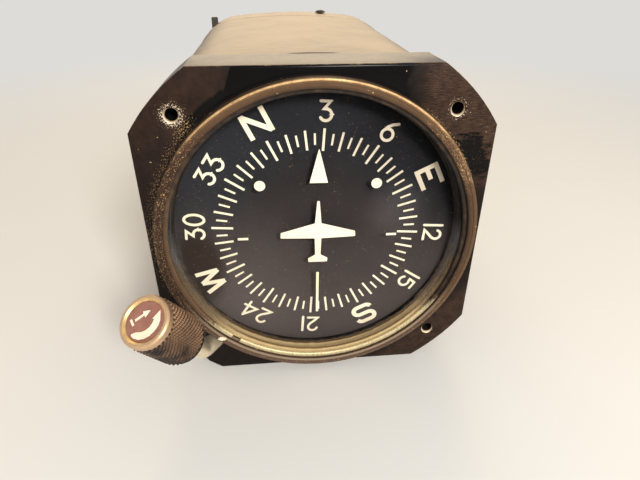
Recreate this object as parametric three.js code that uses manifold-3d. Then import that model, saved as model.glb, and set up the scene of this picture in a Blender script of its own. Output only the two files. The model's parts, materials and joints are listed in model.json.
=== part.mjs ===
// Vacuum driven directional gyro for an aircraft panel, as an assembly of separate pieces.
// Millimetres, +Z up. The dial faces -Y, and the case runs back along +Y.
import * as THREE from 'three';
import { mergeVertices } from 'three/addons/utils/BufferGeometryUtils.js';
import Module from 'manifold-3d';

const wasm = await Module();
wasm.setup();

// General.
const overrun = 1;            // how far cutting bodies run past what they cut
const runClearance = 0.08;    // radial, between a shaft and its bearing
const seatClearance = 0.05;   // radial, between a fixed piece and its seat
const seatGap = 0.3;          // between pieces that rest on curved or turned faces
const roundSides = 48;        // facets of the large round faces
const midSides = 24;
const smallSides = 12;
const screwSides = 6;
const mergeTolerance = 0.00001;
const headEdgeShare = 0.6;      // height of a screw head's edge over the head's height
const headTopShare = 0.75;
const slotWidthShare = 0.28;
const barbShare = 1.12;         // a fitting's barb over its nipple
const nippleTipShare = 0.85;

// Front casting.
const flangeSide = 82.55;
const flangeCornerReach = 8.325;   // the corners' arc beyond the flat sides
const flangeCornerRadius = flangeSide / 2 + flangeCornerReach;
const frontDepth = 14;
const boltCircleReach = 6.35;      // the screw circle over the flange's side
const boltCircle = flangeSide + boltCircleReach;
const holeOffset = boltCircle / 2 * Math.SQRT1_2;
const panelHoleRadius = 1.4;      // the tapped hole's inner radius
const panelSinkRadius = 1.95;
const panelSinkDepth = 0.55;
const ringInset = 1.975;
const ringOuterRadius = flangeSide / 2 - ringInset;
const ringHeight = 3.4;
const ringChamfer = 0.5;
const ringLipWidth = 2.3;
const glassBoreRadius = ringOuterRadius - ringLipWidth;
const glassBoreDepth = 3.2;
const cardBoreStep = 0.4;
const cardBoreRadius = glassBoreRadius - cardBoreStep;
const cardBoreDepth = 10;
const rearBoreStep = 4.6;
const rearBoreRadius = cardBoreRadius - rearBoreStep;
const snapGrooveDepth = 0.6;
const snapGrooveWidth = 1.2;
const spigotLength = 6;
const spigotWall = 1.6;
const facetInset = 0.93;         // where the knob's facet starts, inside the hole circle's corner
const facetSetBack = holeOffset - facetInset;
const facetRise = 7.93;          // how far above the corner the facet reaches
const facetTop = holeOffset - facetRise;

// Case and cover.
const caseInset = 0.275;
const caseHalf = flangeSide / 2 - caseInset;
const caseCornerRadius = 20;
const caseCrownRadius = 200;
const caseWall = 1.6;
const caseFit = 0.1;
const caseLength = 105;
const bellLength = 15;
const bellStep = 0.25;
const coverWall = 2.2;
const coverSkirt = 9;
const cornerPoints = 7;
const crownPoints = 2;
const caseScrewRadius = 1.2;
const caseScrewHeadRadius = 2.1;
const caseScrewHeadHeight = 0.9;
const caseScrewLift = 0.25;
const caseScrewLength = 4.2;
const caseScrewHeight = 12;
const caseScrewSetBack = 3;
const coverScrewAcross = 11.5;
const coverScrewSetBack = 4.5;

// Glass and dial.
const glassThickness = 2.4;
const glassSetBack = 2.0;     // glass face behind the ring's lip
const glassFit = 0.1;
const gasketWidth = 1.1;
const gasketInnerRadius = glassBoreRadius - gasketWidth;
const glassGasketThickness = 0.4;
const maskWidth = 1.6;
const maskInnerRadius = glassBoreRadius - maskWidth;
const snapRingWidth = 1.5;
const snapRingThickness = 1.0;
const snapRingGapDegrees = 8;
const snapRingTurnDegrees = 232;
const cardClearance = 0.5;
const cardRadius = cardBoreRadius - cardClearance;
const cardThickness = 0.8;
const cardSetBack = 4.0;
const headingDegrees = 26;

// Card bridge and spindle.
const bridgeThickness = 2.8;
const bridgeWidth = 10;
const bridgeHubRadius = 6.5;
const bridgeHubRise = 0.8;
const bridgeScrewInset = 2.3;
const bridgeScrewAcross = cardBoreRadius - bridgeScrewInset;
const smallBearingRadius = 4;
const spindleRadius = 1.5;
const spindleFlangeRadius = 7;
const spindleFlangeThickness = 0.9;
const spindleNutRadius = 3;
const spindleNutThickness = 1.1;
const smallScrewRadius = 1.0;
const smallScrewHeadRadius = 1.9;
const smallScrewHeadHeight = 0.9;
const smallScrewDepth = 3.2;

// Gears.
const gearsSetBack = 17;         // the gears' pitch circle behind the flange face

const settingDrop = 5.43;        // setting shaft's line below the gears' pitch radius
const mitreRadius = holeOffset - settingDrop;
const gimbalSetBack = mitreRadius + gearsSetBack;   // vertical axis behind the flange face
const mitreTeeth = 40;
const mitreFaceShare = 0.14;
const mitreAddendum = 0.85;
const mitreDedendum = 1.15;
const mitreToothShare = 0.43;  // tooth width at the pitch line over the pitch
const pressureTaperShare = 0.42;
const mitreRimWidth = 6.4;
const mitreRimRadius = mitreRadius - mitreRimWidth;
const mitreRimDrop = 0.35;
const webThickness = 1.6;
const crownTeeth = 72;
const pinionTeeth = 8;
const crownInset = 1.4;
const crownRadius = mitreRadius - crownInset;
const crownFace = 3.8;
const crownInnerRadius = crownRadius - crownFace;
const crownAddendum = 0.5;
const crownDedendum = 0.66;
const crownToothShare = 0.4;

// Gimbals and rotor.
const gimbalGearGap = 2.8;
const gimbalOuterRadius = mitreRadius - gimbalGearGap;
const gimbalRingWall = 2.7;
const gimbalInnerRadius = gimbalOuterRadius - gimbalRingWall;
const gimbalWidth = 9;
const gimbalBossRadius = 5;
const gimbalBossRise = 1.6;
const pivotRadius = 1.5;
const pivotFlangeRadius = 4;
const pivotFlangeThickness = 1.4;
const pivotPostRadius = 3.5;
const pivotSeatDepth = 2.4;
const tiltBearingRadius = 3;
const trunnionRadius = 1.2;
const trunnionCollarRadius = 2.2;
const tiltGap = 1.2;
const frameOuterRadius = gimbalInnerRadius - tiltGap;
const frameWall = 2.7;
const frameInnerRadius = frameOuterRadius - frameWall;
const frameHeight = 8;
const rotorBearingRadius = 3.1;
const rotorGap = 1.6;
const rotorRadius = frameInnerRadius - rotorGap;
const rotorWidth = 11.2;
const rotorWebWidth = 6;
const rotorRimWidth = 4;
const rotorRimInnerRadius = rotorRadius - rotorRimWidth;
const rotorHubRadius = 4;
const bucketCount = 18;
const bucketRadius = 1.1;
const bucketWidth = 5;
const rotorShaftRadius = 1.5;
const rotorShaftInset = 0.7;
const rotorShaftHalf = frameOuterRadius - rotorShaftInset;
const nozzleRadius = 2;
const nozzleHeadRadius = 3;
const nozzleHeadHeight = 1.2;
const nozzleGap = 1.7;
const nozzleTip = rotorRadius + nozzleGap;
const nozzleBoreRadius = 0.5;
const nozzleAngleDegrees = 24;
const weightRadius = 3.2;
const weightHeight = 2.4;
const weightStudRadius = 1;
const weightAngleDegrees = -45;

// Gimbal frame.
const frameInset = 2;             // the frame's width inside the gears' pitch radius
const frameWidth = mitreRadius - frameInset;
const plateThickness = 1.8;
const plateGap = 0.9;            // between the plates and the front's spigot
const plateHalfGap = caseHalf - caseWall - caseFit - spigotWall - plateGap - plateThickness;
const gimbalRearGap = 5.8;
const frameRearGap = gimbalOuterRadius + gimbalRearGap;
const footHeight = 6;
const footScrewInset = 4;
const footScrewAcross = frameWidth / 2 - footScrewInset;
const footScrewDrop = 3.8;
const frameWindowRadius = 9;
const pivotBearingRadius = 4;
const manifoldRadius = 7.5;
const manifoldHeight = 6.4;
const airTubeRadius = 2.2;
const airTubeBore = 1.5;
const airTubeDrop = 3.4;
const airTubeHeight = plateHalfGap - airTubeDrop;

// Rear fittings.
const fittingHexRadius = 6.2;
const fittingHexLength = 5;
const fittingThreadRadius = 4.6;
const fittingNippleRadius = 3.4;
const fittingLength = 13;
const fittingBore = 2.2;
const vacuumHeight = -14;
const tagWidth = 2.6;
const tagTopInset = 1.7;
const tagTop = caseHalf - tagTopInset;
const tagLength = 13.3;
const tagBottom = tagTop - tagLength;
const tagSideInset = 7.7;
const tagLeft = caseHalf - tagSideInset;
const tagThickness = 1.2;

// Knob and setting shaft.
const knobLeanX = -0.315;
const knobLeanY = -0.511;
const knobLeanZ = 0.7995;
const elbowForward = 3.5;     // bend of the elbow in front of the flange face
const knobFront = 28.2;       // along the knob's axis, from the bend
const knobLength = 17.8;
const knobFrontRadius = 6.26;
const knobBackRadius = 6.55;
const knobRimLength = 2.0;
const knobEdge = 0.7;
const knobBackEdge = 1.5;
const knobFaceStep = 0.5;
const insertRadius = 4.7;
const insertThickness = 0.6;
const knobCounterRadius = 2.75;
const knobCounterDepth = 6;
const knobEndWall = 2;
const elbowRadius = 2.3;
const elbowBend = 1.6;
const elbowOuterLeg = 12;
const elbowInnerLeg = 8;
const elbowSides = 10;
const elbowBendSteps = 4;
const driveRadius = 1.1;
const driveLeg = 4.4;
const shaftRadius = 1.2;
const setScrewRadius = 1.0;
const setScrewShare = 0.45;   // along the knob, from its back
const pushTravel = 2.0;
const shaftBoreRadius = 2.4;
const shoulderRadius = 2.1;
const shoulderLength = 1.2;
const springWire = 0.22;      // radius
const springRadius = 1.78;
const springTurns = 6;
const springLength = 6.9;
const springSteps = 8;
const springSides = 5;
const settingBushLength = 4.3;
const pinionGap = 0.35;       // between pinion and setting gear at rest
const pinionHubRadius = 1.9;
const pinionHubLength = 2.2;

// Helpers.
function solid(geometry) {
  const bare = geometry.index ? geometry.toNonIndexed() : geometry.clone();
  for (const name of Object.keys(bare.attributes)) {
    if (name !== 'position') bare.deleteAttribute(name);
  }
  const merged = mergeVertices(bare, mergeTolerance);
  const vertProperties = new Float32Array(merged.attributes.position.array);
  const triVerts = new Uint32Array(merged.index.array);
  return new wasm.Manifold(new wasm.Mesh({ numProp: 3, vertProperties, triVerts }));
}

function surface(body) {
  const mesh = body.getMesh();
  const geometry = new THREE.BufferGeometry();
  geometry.setAttribute('position', new THREE.BufferAttribute(new Float32Array(mesh.vertProperties), 3));
  geometry.setIndex(new THREE.BufferAttribute(new Uint32Array(mesh.triVerts), 1));
  geometry.computeVertexNormals();
  return geometry;
}

// Revolves a profile of [radius, height] about Z. The profile runs anticlockwise.
function turned(profile, sides) {
  const points = profile.map(([r, z]) => new THREE.Vector2(r, z));
  if (profile[0][0] > 0) points.push(points[0].clone());
  return new THREE.LatheGeometry(points, sides).rotateX(Math.PI / 2);
}

function rod(radius, from, to, sides = smallSides) {
  return turned([[0, from], [radius, from], [radius, to], [0, to]], sides);
}

function screwHole(screwRadius, from, to) {
  return rod(screwRadius + seatClearance, from, to, screwSides);
}

function tube(inner, outer, from, to, sides = smallSides) {
  return turned([[inner, from], [outer, from], [outer, to], [inner, to]], sides);
}

function outlineShape(points) {
  return new THREE.Shape(points.map(([x, y]) => new THREE.Vector2(x, y)));
}

function prism(points, from, to) {
  const geometry = new THREE.ExtrudeGeometry(outlineShape(points), {
    depth: to - from, bevelEnabled: false, steps: 1,
  });
  return geometry.translate(0, 0, from);
}

function block(x0, x1, y0, y1, z0, z1) {
  const geometry = new THREE.BoxGeometry(x1 - x0, y1 - y0, z1 - z0);
  return geometry.translate((x0 + x1) / 2, (y0 + y1) / 2, (z0 + z1) / 2);
}

function union(first, ...others) {
  return others.reduce((body, next) => body.add(solid(next)), solid(first));
}

function cut(body, ...tools) {
  return tools.reduce((rest, tool) => rest.subtract(solid(tool)), body);
}

function along(geometry, direction, origin = new THREE.Vector3()) {
  const turn = new THREE.Quaternion().setFromUnitVectors(new THREE.Vector3(0, 0, 1), direction);
  geometry.applyQuaternion(turn);
  return geometry.translate(origin.x, origin.y, origin.z);
}

function material(color, roughness, metalness, extra = {}) {
  return new THREE.MeshStandardMaterial({ color, roughness, metalness, ...extra });
}

function piece(name, geometry, finish) {
  const mesh = new THREE.Mesh(geometry, finish());
  mesh.name = name;
  return mesh;
}

const paint = () => material(0x2b2520, 0.45, 0.3);
const caseSkin = () => material(0x6f5c4a, 0.4, 0.4);
const blackAnodised = () => material(0x1d1b1a, 0.5, 0.3);
const brass = () => material(0xb08a4a, 0.35, 0.9);
const steel = () => material(0xa7a7a4, 0.3, 0.95);
const darkSteel = () => material(0x3c3a38, 0.4, 0.9);
const aluminium = () => material(0xb9b6b0, 0.4, 0.9);
const rubber = () => material(0x151414, 0.85, 0.0);
const glassLook = () => material(0xdfe8ea, 0.05, 0.0, { transparent: true, opacity: 0.18 });
const cardBlack = () => material(0x26282c, 0.75, 0.0);
const insertRed = () => material(0x8a4f3c, 0.6, 0.0);
const knurled = () => material(0x4a3c30, 0.5, 0.5);

// The case's outline: four slightly crowned sides that run into round corners.
function caseOutline(inset) {
  const half = caseHalf - inset;
  const corner = caseCornerRadius - inset;
  const crown = caseCrownRadius - inset;
  const b = crown - half;
  const centre = (Math.sqrt(2 * (crown - corner) ** 2 - b * b) - b) / 2;
  const lean = Math.atan2(centre, centre + b);
  const points = [];
  for (let side = 0; side < 4; side += 1) {
    const turn = side * Math.PI / 2;
    const place = (x, y) => points.push([
      x * Math.cos(turn) - y * Math.sin(turn),
      x * Math.sin(turn) + y * Math.cos(turn),
    ]);
    for (let i = 0; i < crownPoints; i += 1) {
      const a = -lean + 2 * lean * i / crownPoints;
      place(crown * Math.cos(a) - b, crown * Math.sin(a));
    }
    for (let i = 0; i < cornerPoints; i += 1) {
      const a = lean + (Math.PI / 2 - 2 * lean) * i / cornerPoints;
      place(centre + corner * Math.cos(a), centre + corner * Math.sin(a));
    }
  }
  return points;
}

// The flange's outline: a square whose corners are turned to an arc about the axis.
function flangeOutline() {
  const half = flangeSide / 2;
  const start = Math.acos(half / flangeCornerRadius);
  const points = [];
  for (let side = 0; side < 4; side += 1) {
    for (let i = 0; i <= cornerPoints; i += 1) {
      const a = side * Math.PI / 2 + start + (Math.PI / 2 - 2 * start) * i / cornerPoints;
      points.push([flangeCornerRadius * Math.cos(a), flangeCornerRadius * Math.sin(a)]);
    }
  }
  return points;
}

// A bevel gear about Z with its cone's tip at the origin and its body below it.
// The teeth run from the large end towards the tip, so they mesh with any gear of the same tip.
function bevelGear(gear) {
  const { teeth, radius, cone, faceShare, addendum, dedendum, toothShare, before, after } = gear;
  const pointed = gear.pointed === true;
  const pitchHeight = -radius / Math.tan(cone);
  const step = 2 * Math.PI / teeth;
  const tipShare = toothShare - pressureTaperShare * addendum / (radius * step);
  const rootShare = toothShare + pressureTaperShare * dedendum / (radius * step);
  const toothed = (scale) => {
    const loop = [];
    for (let tooth = 0; tooth < teeth; tooth += 1) {
      const corners = pointed ? [[-0.5, -dedendum], [0, addendum]]
        : [[-rootShare, -dedendum], [-tipShare, addendum], [tipShare, addendum], [rootShare, -dedendum]];
      for (const [share, rise] of corners) {
        const angle = step * (tooth + (pointed ? share : share / 2));
        const r = scale * (radius + rise * Math.cos(cone));
        const z = scale * (pitchHeight + rise * Math.sin(cone));
        loop.push([r * Math.cos(angle), r * Math.sin(angle), z]);
      }
    }
    return loop;
  };
  const plain = ([r, z]) => {
    const loop = [];
    for (let tooth = 0; tooth < teeth; tooth += 1) {
      loop.push([r * Math.cos(step * tooth), r * Math.sin(step * tooth), z]);
    }
    return loop;
  };
  const loops = [...before.map(plain), toothed(1), toothed(1 - faceShare), ...after.map(plain)];
  const starts = [];
  let total = 0;
  for (const loop of loops) {
    starts.push(total);
    total += loop.length;
  }
  const index = [];
  const join = (lower, upper) => {
    const perLower = loops[lower].length / teeth;
    const perUpper = loops[upper].length / teeth;
    const lowerAt = (i) => starts[lower] + i % loops[lower].length;
    const upperAt = (i) => starts[upper] + i % loops[upper].length;
    for (let tooth = 0; tooth < teeth; tooth += 1) {
      const low = tooth * perLower;
      const high = tooth * perUpper;
      if (perLower === perUpper) {
        for (let k = 0; k < perLower; k += 1) {
          index.push(lowerAt(low + k), lowerAt(low + k + 1), upperAt(high + k + 1));
          index.push(lowerAt(low + k), upperAt(high + k + 1), upperAt(high + k));
        }
      } else if (perLower < perUpper) {
        for (let k = 0; k < perUpper; k += 1) {
          index.push(lowerAt(low), upperAt(high + k + 1), upperAt(high + k));
        }
        index.push(lowerAt(low), lowerAt(low + 1), upperAt(high + perUpper));
      } else {
        for (let k = 0; k < perLower; k += 1) {
          index.push(lowerAt(low + k), lowerAt(low + k + 1), upperAt(high));
        }
        index.push(lowerAt(low + perLower), upperAt(high + 1), upperAt(high));
      }
    }
  };
  for (let ring = 0; ring < loops.length; ring += 1) join(ring, (ring + 1) % loops.length);
  const geometry = new THREE.BufferGeometry();
  geometry.setAttribute('position', new THREE.Float32BufferAttribute(loops.flat(2), 3));
  geometry.setIndex(index);
  return geometry;
}

// A screw about Z: its head stands on z = 0 and its shank goes down.
function screw(shankRadius, headRadius, headHeight, depth, slotShare = slotWidthShare) {
  const body = union(turned([[0, -depth], [shankRadius, -depth], [shankRadius, 0], [headRadius, 0],
    [headRadius, headHeight * headEdgeShare], [headRadius * headTopShare, headHeight], [0, headHeight]],
  screwSides));
  const slot = headRadius * slotShare;
  const reach = headRadius + overrun;
  return surface(cut(body, block(-reach, reach, -slot / 2, slot / 2, headHeight / 2,
    headHeight + overrun)));
}

// Groups.
const assembly = new THREE.Group();
const front = new THREE.Group();      // X right, Y up, Z out of the dial towards the viewer
front.rotation.x = Math.PI / 2;
assembly.add(front);
const gimbal = new THREE.Group();     // its origin is where the card's and gimbal's axes cross
gimbal.position.y = gimbalSetBack;
assembly.add(gimbal);

// Setting shaft's line.
const bend = new THREE.Vector3(-holeOffset, -elbowForward, -holeOffset);
const shaftAxis = new THREE.Vector3(holeOffset, gimbalSetBack + elbowForward, 0).normalize();
const knobAxis = new THREE.Vector3(knobLeanX, knobLeanY, knobLeanZ).normalize();
const bendToGimbal = Math.hypot(holeOffset, gimbalSetBack + elbowForward);
const onShaft = (t) => bend.clone().addScaledVector(shaftAxis, t);
const onFrontPlane = (v) => new THREE.Vector3(v.x, v.z, -v.y);
const facetPoint = new THREE.Vector3(-facetSetBack, 0, -holeOffset);
const facetAlong = facetPoint.clone().sub(bend).dot(shaftAxis);

// Front casting.
const glassFace = ringHeight - glassSetBack;
const glassBack = glassFace - glassThickness;
const gasketBack = glassBack - glassGasketThickness;
const cardFace = -cardSetBack;
const cardBack = cardFace - cardThickness;
const bridgeFace = -cardBoreDepth + bridgeThickness;

function frontBezel() {
  let body = union(
    prism(flangeOutline(), -frontDepth, 0),
    turned([[0, -frontDepth], [ringOuterRadius, -frontDepth], [ringOuterRadius, ringHeight - ringChamfer],
      [ringOuterRadius - ringChamfer, ringHeight], [0, ringHeight]], roundSides),
    prism(caseOutline(caseWall + caseFit), -frontDepth - spigotLength, -frontDepth),
  );
  const snapTop = glassFace + snapGrooveWidth;
  body = cut(
    body,
    turned([[0, -cardBoreDepth], [cardBoreRadius, -cardBoreDepth], [cardBoreRadius, -glassBoreDepth],
      [glassBoreRadius, -glassBoreDepth], [glassBoreRadius, glassFace],
      [glassBoreRadius + snapGrooveDepth, glassFace], [glassBoreRadius + snapGrooveDepth, snapTop],
      [glassBoreRadius, snapTop], [glassBoreRadius, ringHeight + overrun],
      [0, ringHeight + overrun]], roundSides),
    rod(rearBoreRadius, -frontDepth - overrun, -cardBoreDepth + overrun, roundSides),
    prism(caseOutline(caseWall + caseFit + spigotWall), -frontDepth - spigotLength - overrun, -frontDepth),
  );
  for (const [sx, sy] of [[-1, 1], [1, 1], [1, -1]]) {
    const hole = turned([[0, -frontDepth - spigotLength - overrun],
      [panelHoleRadius, -frontDepth - spigotLength - overrun], [panelHoleRadius, -panelSinkDepth],
      [panelSinkRadius, 0], [panelSinkRadius, overrun], [0, overrun]], smallSides);
    body = cut(body, hole.translate(sx * holeOffset, sy * holeOffset, 0));
  }
  for (const sx of [-1, 1]) {
    const tapped = screwHole(smallScrewRadius, -cardBoreDepth - smallScrewDepth, -cardBoreDepth
      + overrun);
    body = cut(body, tapped.translate(sx * bridgeScrewAcross, 0, 0));
    for (const sy of [-1, 1]) {
      const foot = screwHole(smallScrewRadius, -frontDepth - overrun, -frontDepth
        + smallScrewDepth);
      body = cut(body, foot.translate(sx * footScrewAcross, sy * (plateHalfGap + plateThickness
        - footScrewDrop), 0));
      const side = along(screwHole(caseScrewRadius, 0, caseHalf + overrun),
        new THREE.Vector3(sx, 0, 0), new THREE.Vector3(0, sy * caseScrewHeight,
          -frontDepth - caseScrewSetBack));
      body = cut(body, side);
    }
  }
  const inward = onFrontPlane(shaftAxis);
  const corner = onFrontPlane(bend);
  const facet = block(-flangeSide, flangeSide, -flangeSide, flangeSide, -flangeSide, 0);
  const facetBox = along(facet, inward, corner.clone().addScaledVector(inward, facetAlong));
  const lowerLeft = solid(block(-flangeSide, 0, -flangeSide, -facetTop, -frontDepth - spigotLength
    - overrun, overrun)).subtract(solid(rod(ringOuterRadius, -frontDepth - spigotLength - 2 * overrun,
    2 * overrun, roundSides)));
  body = body.subtract(solid(facetBox).intersect(lowerLeft));
  const shaftHole = along(rod(shaftBoreRadius, 0, bendToGimbal / 2, smallSides), inward, corner);
  return surface(cut(body, shaftHole));
}
front.add(piece('front_bezel', frontBezel(), paint));

const discFit = glassBoreRadius - glassFit;
front.add(piece('glass', rod(discFit, glassBack, glassFace, roundSides), glassLook));
front.add(piece('glass_gasket', tube(gasketInnerRadius, discFit, gasketBack, glassBack, midSides), rubber));
front.add(piece('dial_mask', tube(maskInnerRadius, discFit, -glassBoreDepth, gasketBack, roundSides),
  blackAnodised));

function snapRing() {
  const outer = glassBoreRadius + snapGrooveDepth - glassFit;
  const low = glassFace + (snapGrooveWidth - snapRingThickness) / 2;
  const body = union(tube(outer - snapRingWidth, outer, low, low + snapRingThickness, roundSides));
  const gap = THREE.MathUtils.degToRad(snapRingGapDegrees);
  const reach = outer + overrun;
  const wedge = prism([[0, 0], [reach * Math.cos(-gap / 2), reach * Math.sin(-gap / 2)],
    [reach * Math.cos(gap / 2), reach * Math.sin(gap / 2)]], low - overrun, low + snapRingThickness
    + overrun);
  return surface(cut(body, wedge.rotateZ(THREE.MathUtils.degToRad(snapRingTurnDegrees))));
}
front.add(piece('retaining_ring', snapRing(), brass));

// Case, gasket and cover.
const caseRear = -frontDepth - caseLength;
function caseShell() {
  const bellStart = caseRear + bellLength;
  let body = union(prism(caseOutline(0), bellStart, -frontDepth), prism(caseOutline(-bellStep), caseRear,
    bellStart));
  body = cut(
    body,
    prism(caseOutline(caseWall), caseRear - overrun, -frontDepth + overrun),
  );
  for (const screwSeat of caseScrewSeats()) {
    body = cut(body, along(screwHole(caseScrewRadius, -caseScrewLength - overrun, overrun),
      screwSeat.direction, screwSeat.place));
  }
  return surface(body);
}

// Seats of the screws that go in from the sides and the top, in the front group's axes.
function caseScrewSeats() {
  const seats = [];
  const crownSag = (offset) => offset * offset / 2 / caseCrownRadius;
  const frontOut = caseHalf + caseScrewLift - crownSag(caseScrewHeight - caseScrewHeadRadius);
  const rearOut = caseHalf + bellStep + caseScrewLift;
  const topOut = caseHalf + bellStep + caseScrewLift - crownSag(coverScrewAcross - caseScrewHeadRadius);
  for (const [sx, side] of [[-1, 'left'], [1, 'right']]) {
    for (const [sy, level] of [[1, 'upper'], [-1, 'lower']]) {
      seats.push({
        name: `case_screw_${side}_${level}`,
        direction: new THREE.Vector3(sx, 0, 0),
        place: new THREE.Vector3(sx * frontOut, sy * caseScrewHeight, -frontDepth - caseScrewSetBack),
      });
    }
    seats.push({
      name: `cover_screw_${side}`,
      direction: new THREE.Vector3(sx, 0, 0),
      place: new THREE.Vector3(sx * rearOut, 0, caseRear + coverScrewSetBack),
    });
  }
  seats.push({
    name: 'cover_screw_top',
    direction: new THREE.Vector3(0, 1, 0),
    place: new THREE.Vector3(coverScrewAcross, topOut, caseRear + coverScrewSetBack),
  });
  return seats;
}
front.add(piece('case_shell', caseShell(), caseSkin));
for (const seat of caseScrewSeats()) {
  const geometry = screw(caseScrewRadius, caseScrewHeadRadius, caseScrewHeadHeight, caseScrewLength);
  front.add(piece(seat.name, along(geometry, seat.direction, seat.place), steel));
}

function rearCover() {
  let body = union(prism(caseOutline(caseWall + caseFit), caseRear, caseRear + coverSkirt));
  body = cut(body, prism(caseOutline(caseWall + caseFit + coverWall), caseRear + coverWall, caseRear
    + coverSkirt + overrun));
  for (const seat of caseScrewSeats()) {
    body = cut(body, along(screwHole(caseScrewRadius, -caseScrewLength - overrun, overrun),
      seat.direction, seat.place));
  }
  for (const height of [airTubeHeight, vacuumHeight]) {
    body = cut(body, rod(fittingThreadRadius + seatClearance, caseRear - overrun, caseRear + coverSkirt)
      .translate(0, height, 0));
  }
  return surface(body);
}
front.add(piece('rear_cover', rearCover(), paint));

front.add(piece('rear_tag', block(-tagLeft, tagWidth - tagLeft, tagBottom, tagTop, caseRear - tagThickness,
  caseRear), caseSkin));

function fitting(boreFrom) {
  const hex = new THREE.CylinderGeometry(fittingHexRadius, fittingHexRadius, fittingHexLength, 6)
    .rotateX(Math.PI / 2).translate(0, 0, caseRear - fittingHexLength / 2);
  const barb = fittingNippleRadius * barbShare;
  const end = caseRear - fittingLength;
  const neck = turned([[0, end], [fittingNippleRadius * nippleTipShare, end],
    [barb, end + fittingNippleRadius],
    [fittingNippleRadius, end + fittingNippleRadius], [fittingNippleRadius, caseRear - fittingHexLength
      + overrun], [0, caseRear - fittingHexLength + overrun]], smallSides);
  const thread = rod(fittingThreadRadius, caseRear - overrun, caseRear + coverWall + overrun);
  return surface(cut(union(hex, neck, thread), rod(fittingBore, end - overrun, boreFrom)));
}
front.add(piece('inlet_fitting', fitting(caseRear + coverWall + 2 * overrun).translate(0, airTubeHeight, 0),
  brass));
front.add(piece('vacuum_fitting', fitting(caseRear + coverWall + 2 * overrun).translate(0, vacuumHeight, 0),
  brass));

// Card bridge.
const hubFace = bridgeFace + bridgeHubRise;
const hubBack = -cardBoreDepth - bridgeHubRise;
function cardBridge() {
  const reach = cardBoreRadius - seatGap;
  const bar = solid(block(-reach, reach, -bridgeWidth / 2, bridgeWidth / 2, -cardBoreDepth, bridgeFace))
    .intersect(solid(rod(reach, -cardBoreDepth, bridgeFace, midSides)));
  let body = bar.add(solid(rod(bridgeHubRadius, hubBack, hubFace, midSides)));
  body = cut(body, rod(smallBearingRadius + seatClearance, hubBack - overrun, hubFace + overrun));
  for (const sx of [-1, 1]) {
    body = cut(body, screwHole(smallScrewRadius, -cardBoreDepth - overrun, bridgeFace + overrun)
      .translate(sx * bridgeScrewAcross, 0, 0));
  }
  return surface(body);
}
front.add(piece('card_bridge', cardBridge(), aluminium));
front.add(piece('card_bearing', tube(spindleRadius + runClearance, smallBearingRadius, hubBack, hubFace),
  steel));
for (const [sx, side] of [[-1, 'left'], [1, 'right']]) {
  const geometry = screw(smallScrewRadius, smallScrewHeadRadius, smallScrewHeadHeight, bridgeThickness
    + smallScrewDepth - seatGap);
  front.add(piece(`bridge_screw_${side}`, geometry.translate(sx * bridgeScrewAcross, 0, bridgeFace),
    steel));
}

// Card, spindle and card gear.
const card = new THREE.Group();
front.add(card);
card.add(piece('compass_card', rod(cardRadius, cardBack, cardFace, roundSides), cardBlack));
const mitreBack = mitreRadius + mitreDedendum * Math.SQRT1_2 + mitreRimDrop;
const cardGearTip = -gimbalSetBack;
const cardGearBack = cardGearTip + mitreBack;
const cardGearWeb = cardGearBack - webThickness;
const spindleEnd = cardGearWeb - spindleNutThickness;
const shaftFit = spindleRadius + seatClearance;
card.add(piece('card_spindle', turned([[0, spindleEnd], [spindleRadius, spindleEnd],
  [spindleRadius, cardBack - spindleFlangeThickness], [spindleFlangeRadius, cardBack
    - spindleFlangeThickness], [spindleFlangeRadius, cardBack], [0, cardBack]], midSides), steel));
card.add(piece('card_nut', tube(shaftFit, spindleNutRadius, spindleEnd, cardGearWeb), brass));

const mitre = {
  teeth: mitreTeeth, radius: mitreRadius, cone: Math.PI / 4, faceShare: mitreFaceShare,
  addendum: mitreAddendum, dedendum: mitreDedendum, toothShare: mitreToothShare,
};
const rootDrop = mitreDedendum * Math.SQRT1_2;
const smallEndRoot = (1 - mitreFaceShare) * (mitreRadius + rootDrop);
// The web's bore passes the spindle, and the rim stands up from the web to carry the teeth.
function mitreGear(bore) {
  return bevelGear({
    ...mitre,
    before: [[bore, -mitreBack], [mitreRadius - rootDrop, -mitreBack]],
    after: [[mitreRimRadius, -smallEndRoot], [mitreRimRadius, webThickness - mitreBack],
      [bore, webThickness - mitreBack]],
  });
}
// The card gear's cone points back, so the gear is turned over, half a tooth round.
const cardGear = mitreGear(shaftFit).rotateZ(Math.PI / mitreTeeth - Math.PI / 2).rotateX(Math.PI)
  .translate(0, 0, cardGearTip);
card.add(piece('card_gear', cardGear, brass));

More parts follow.
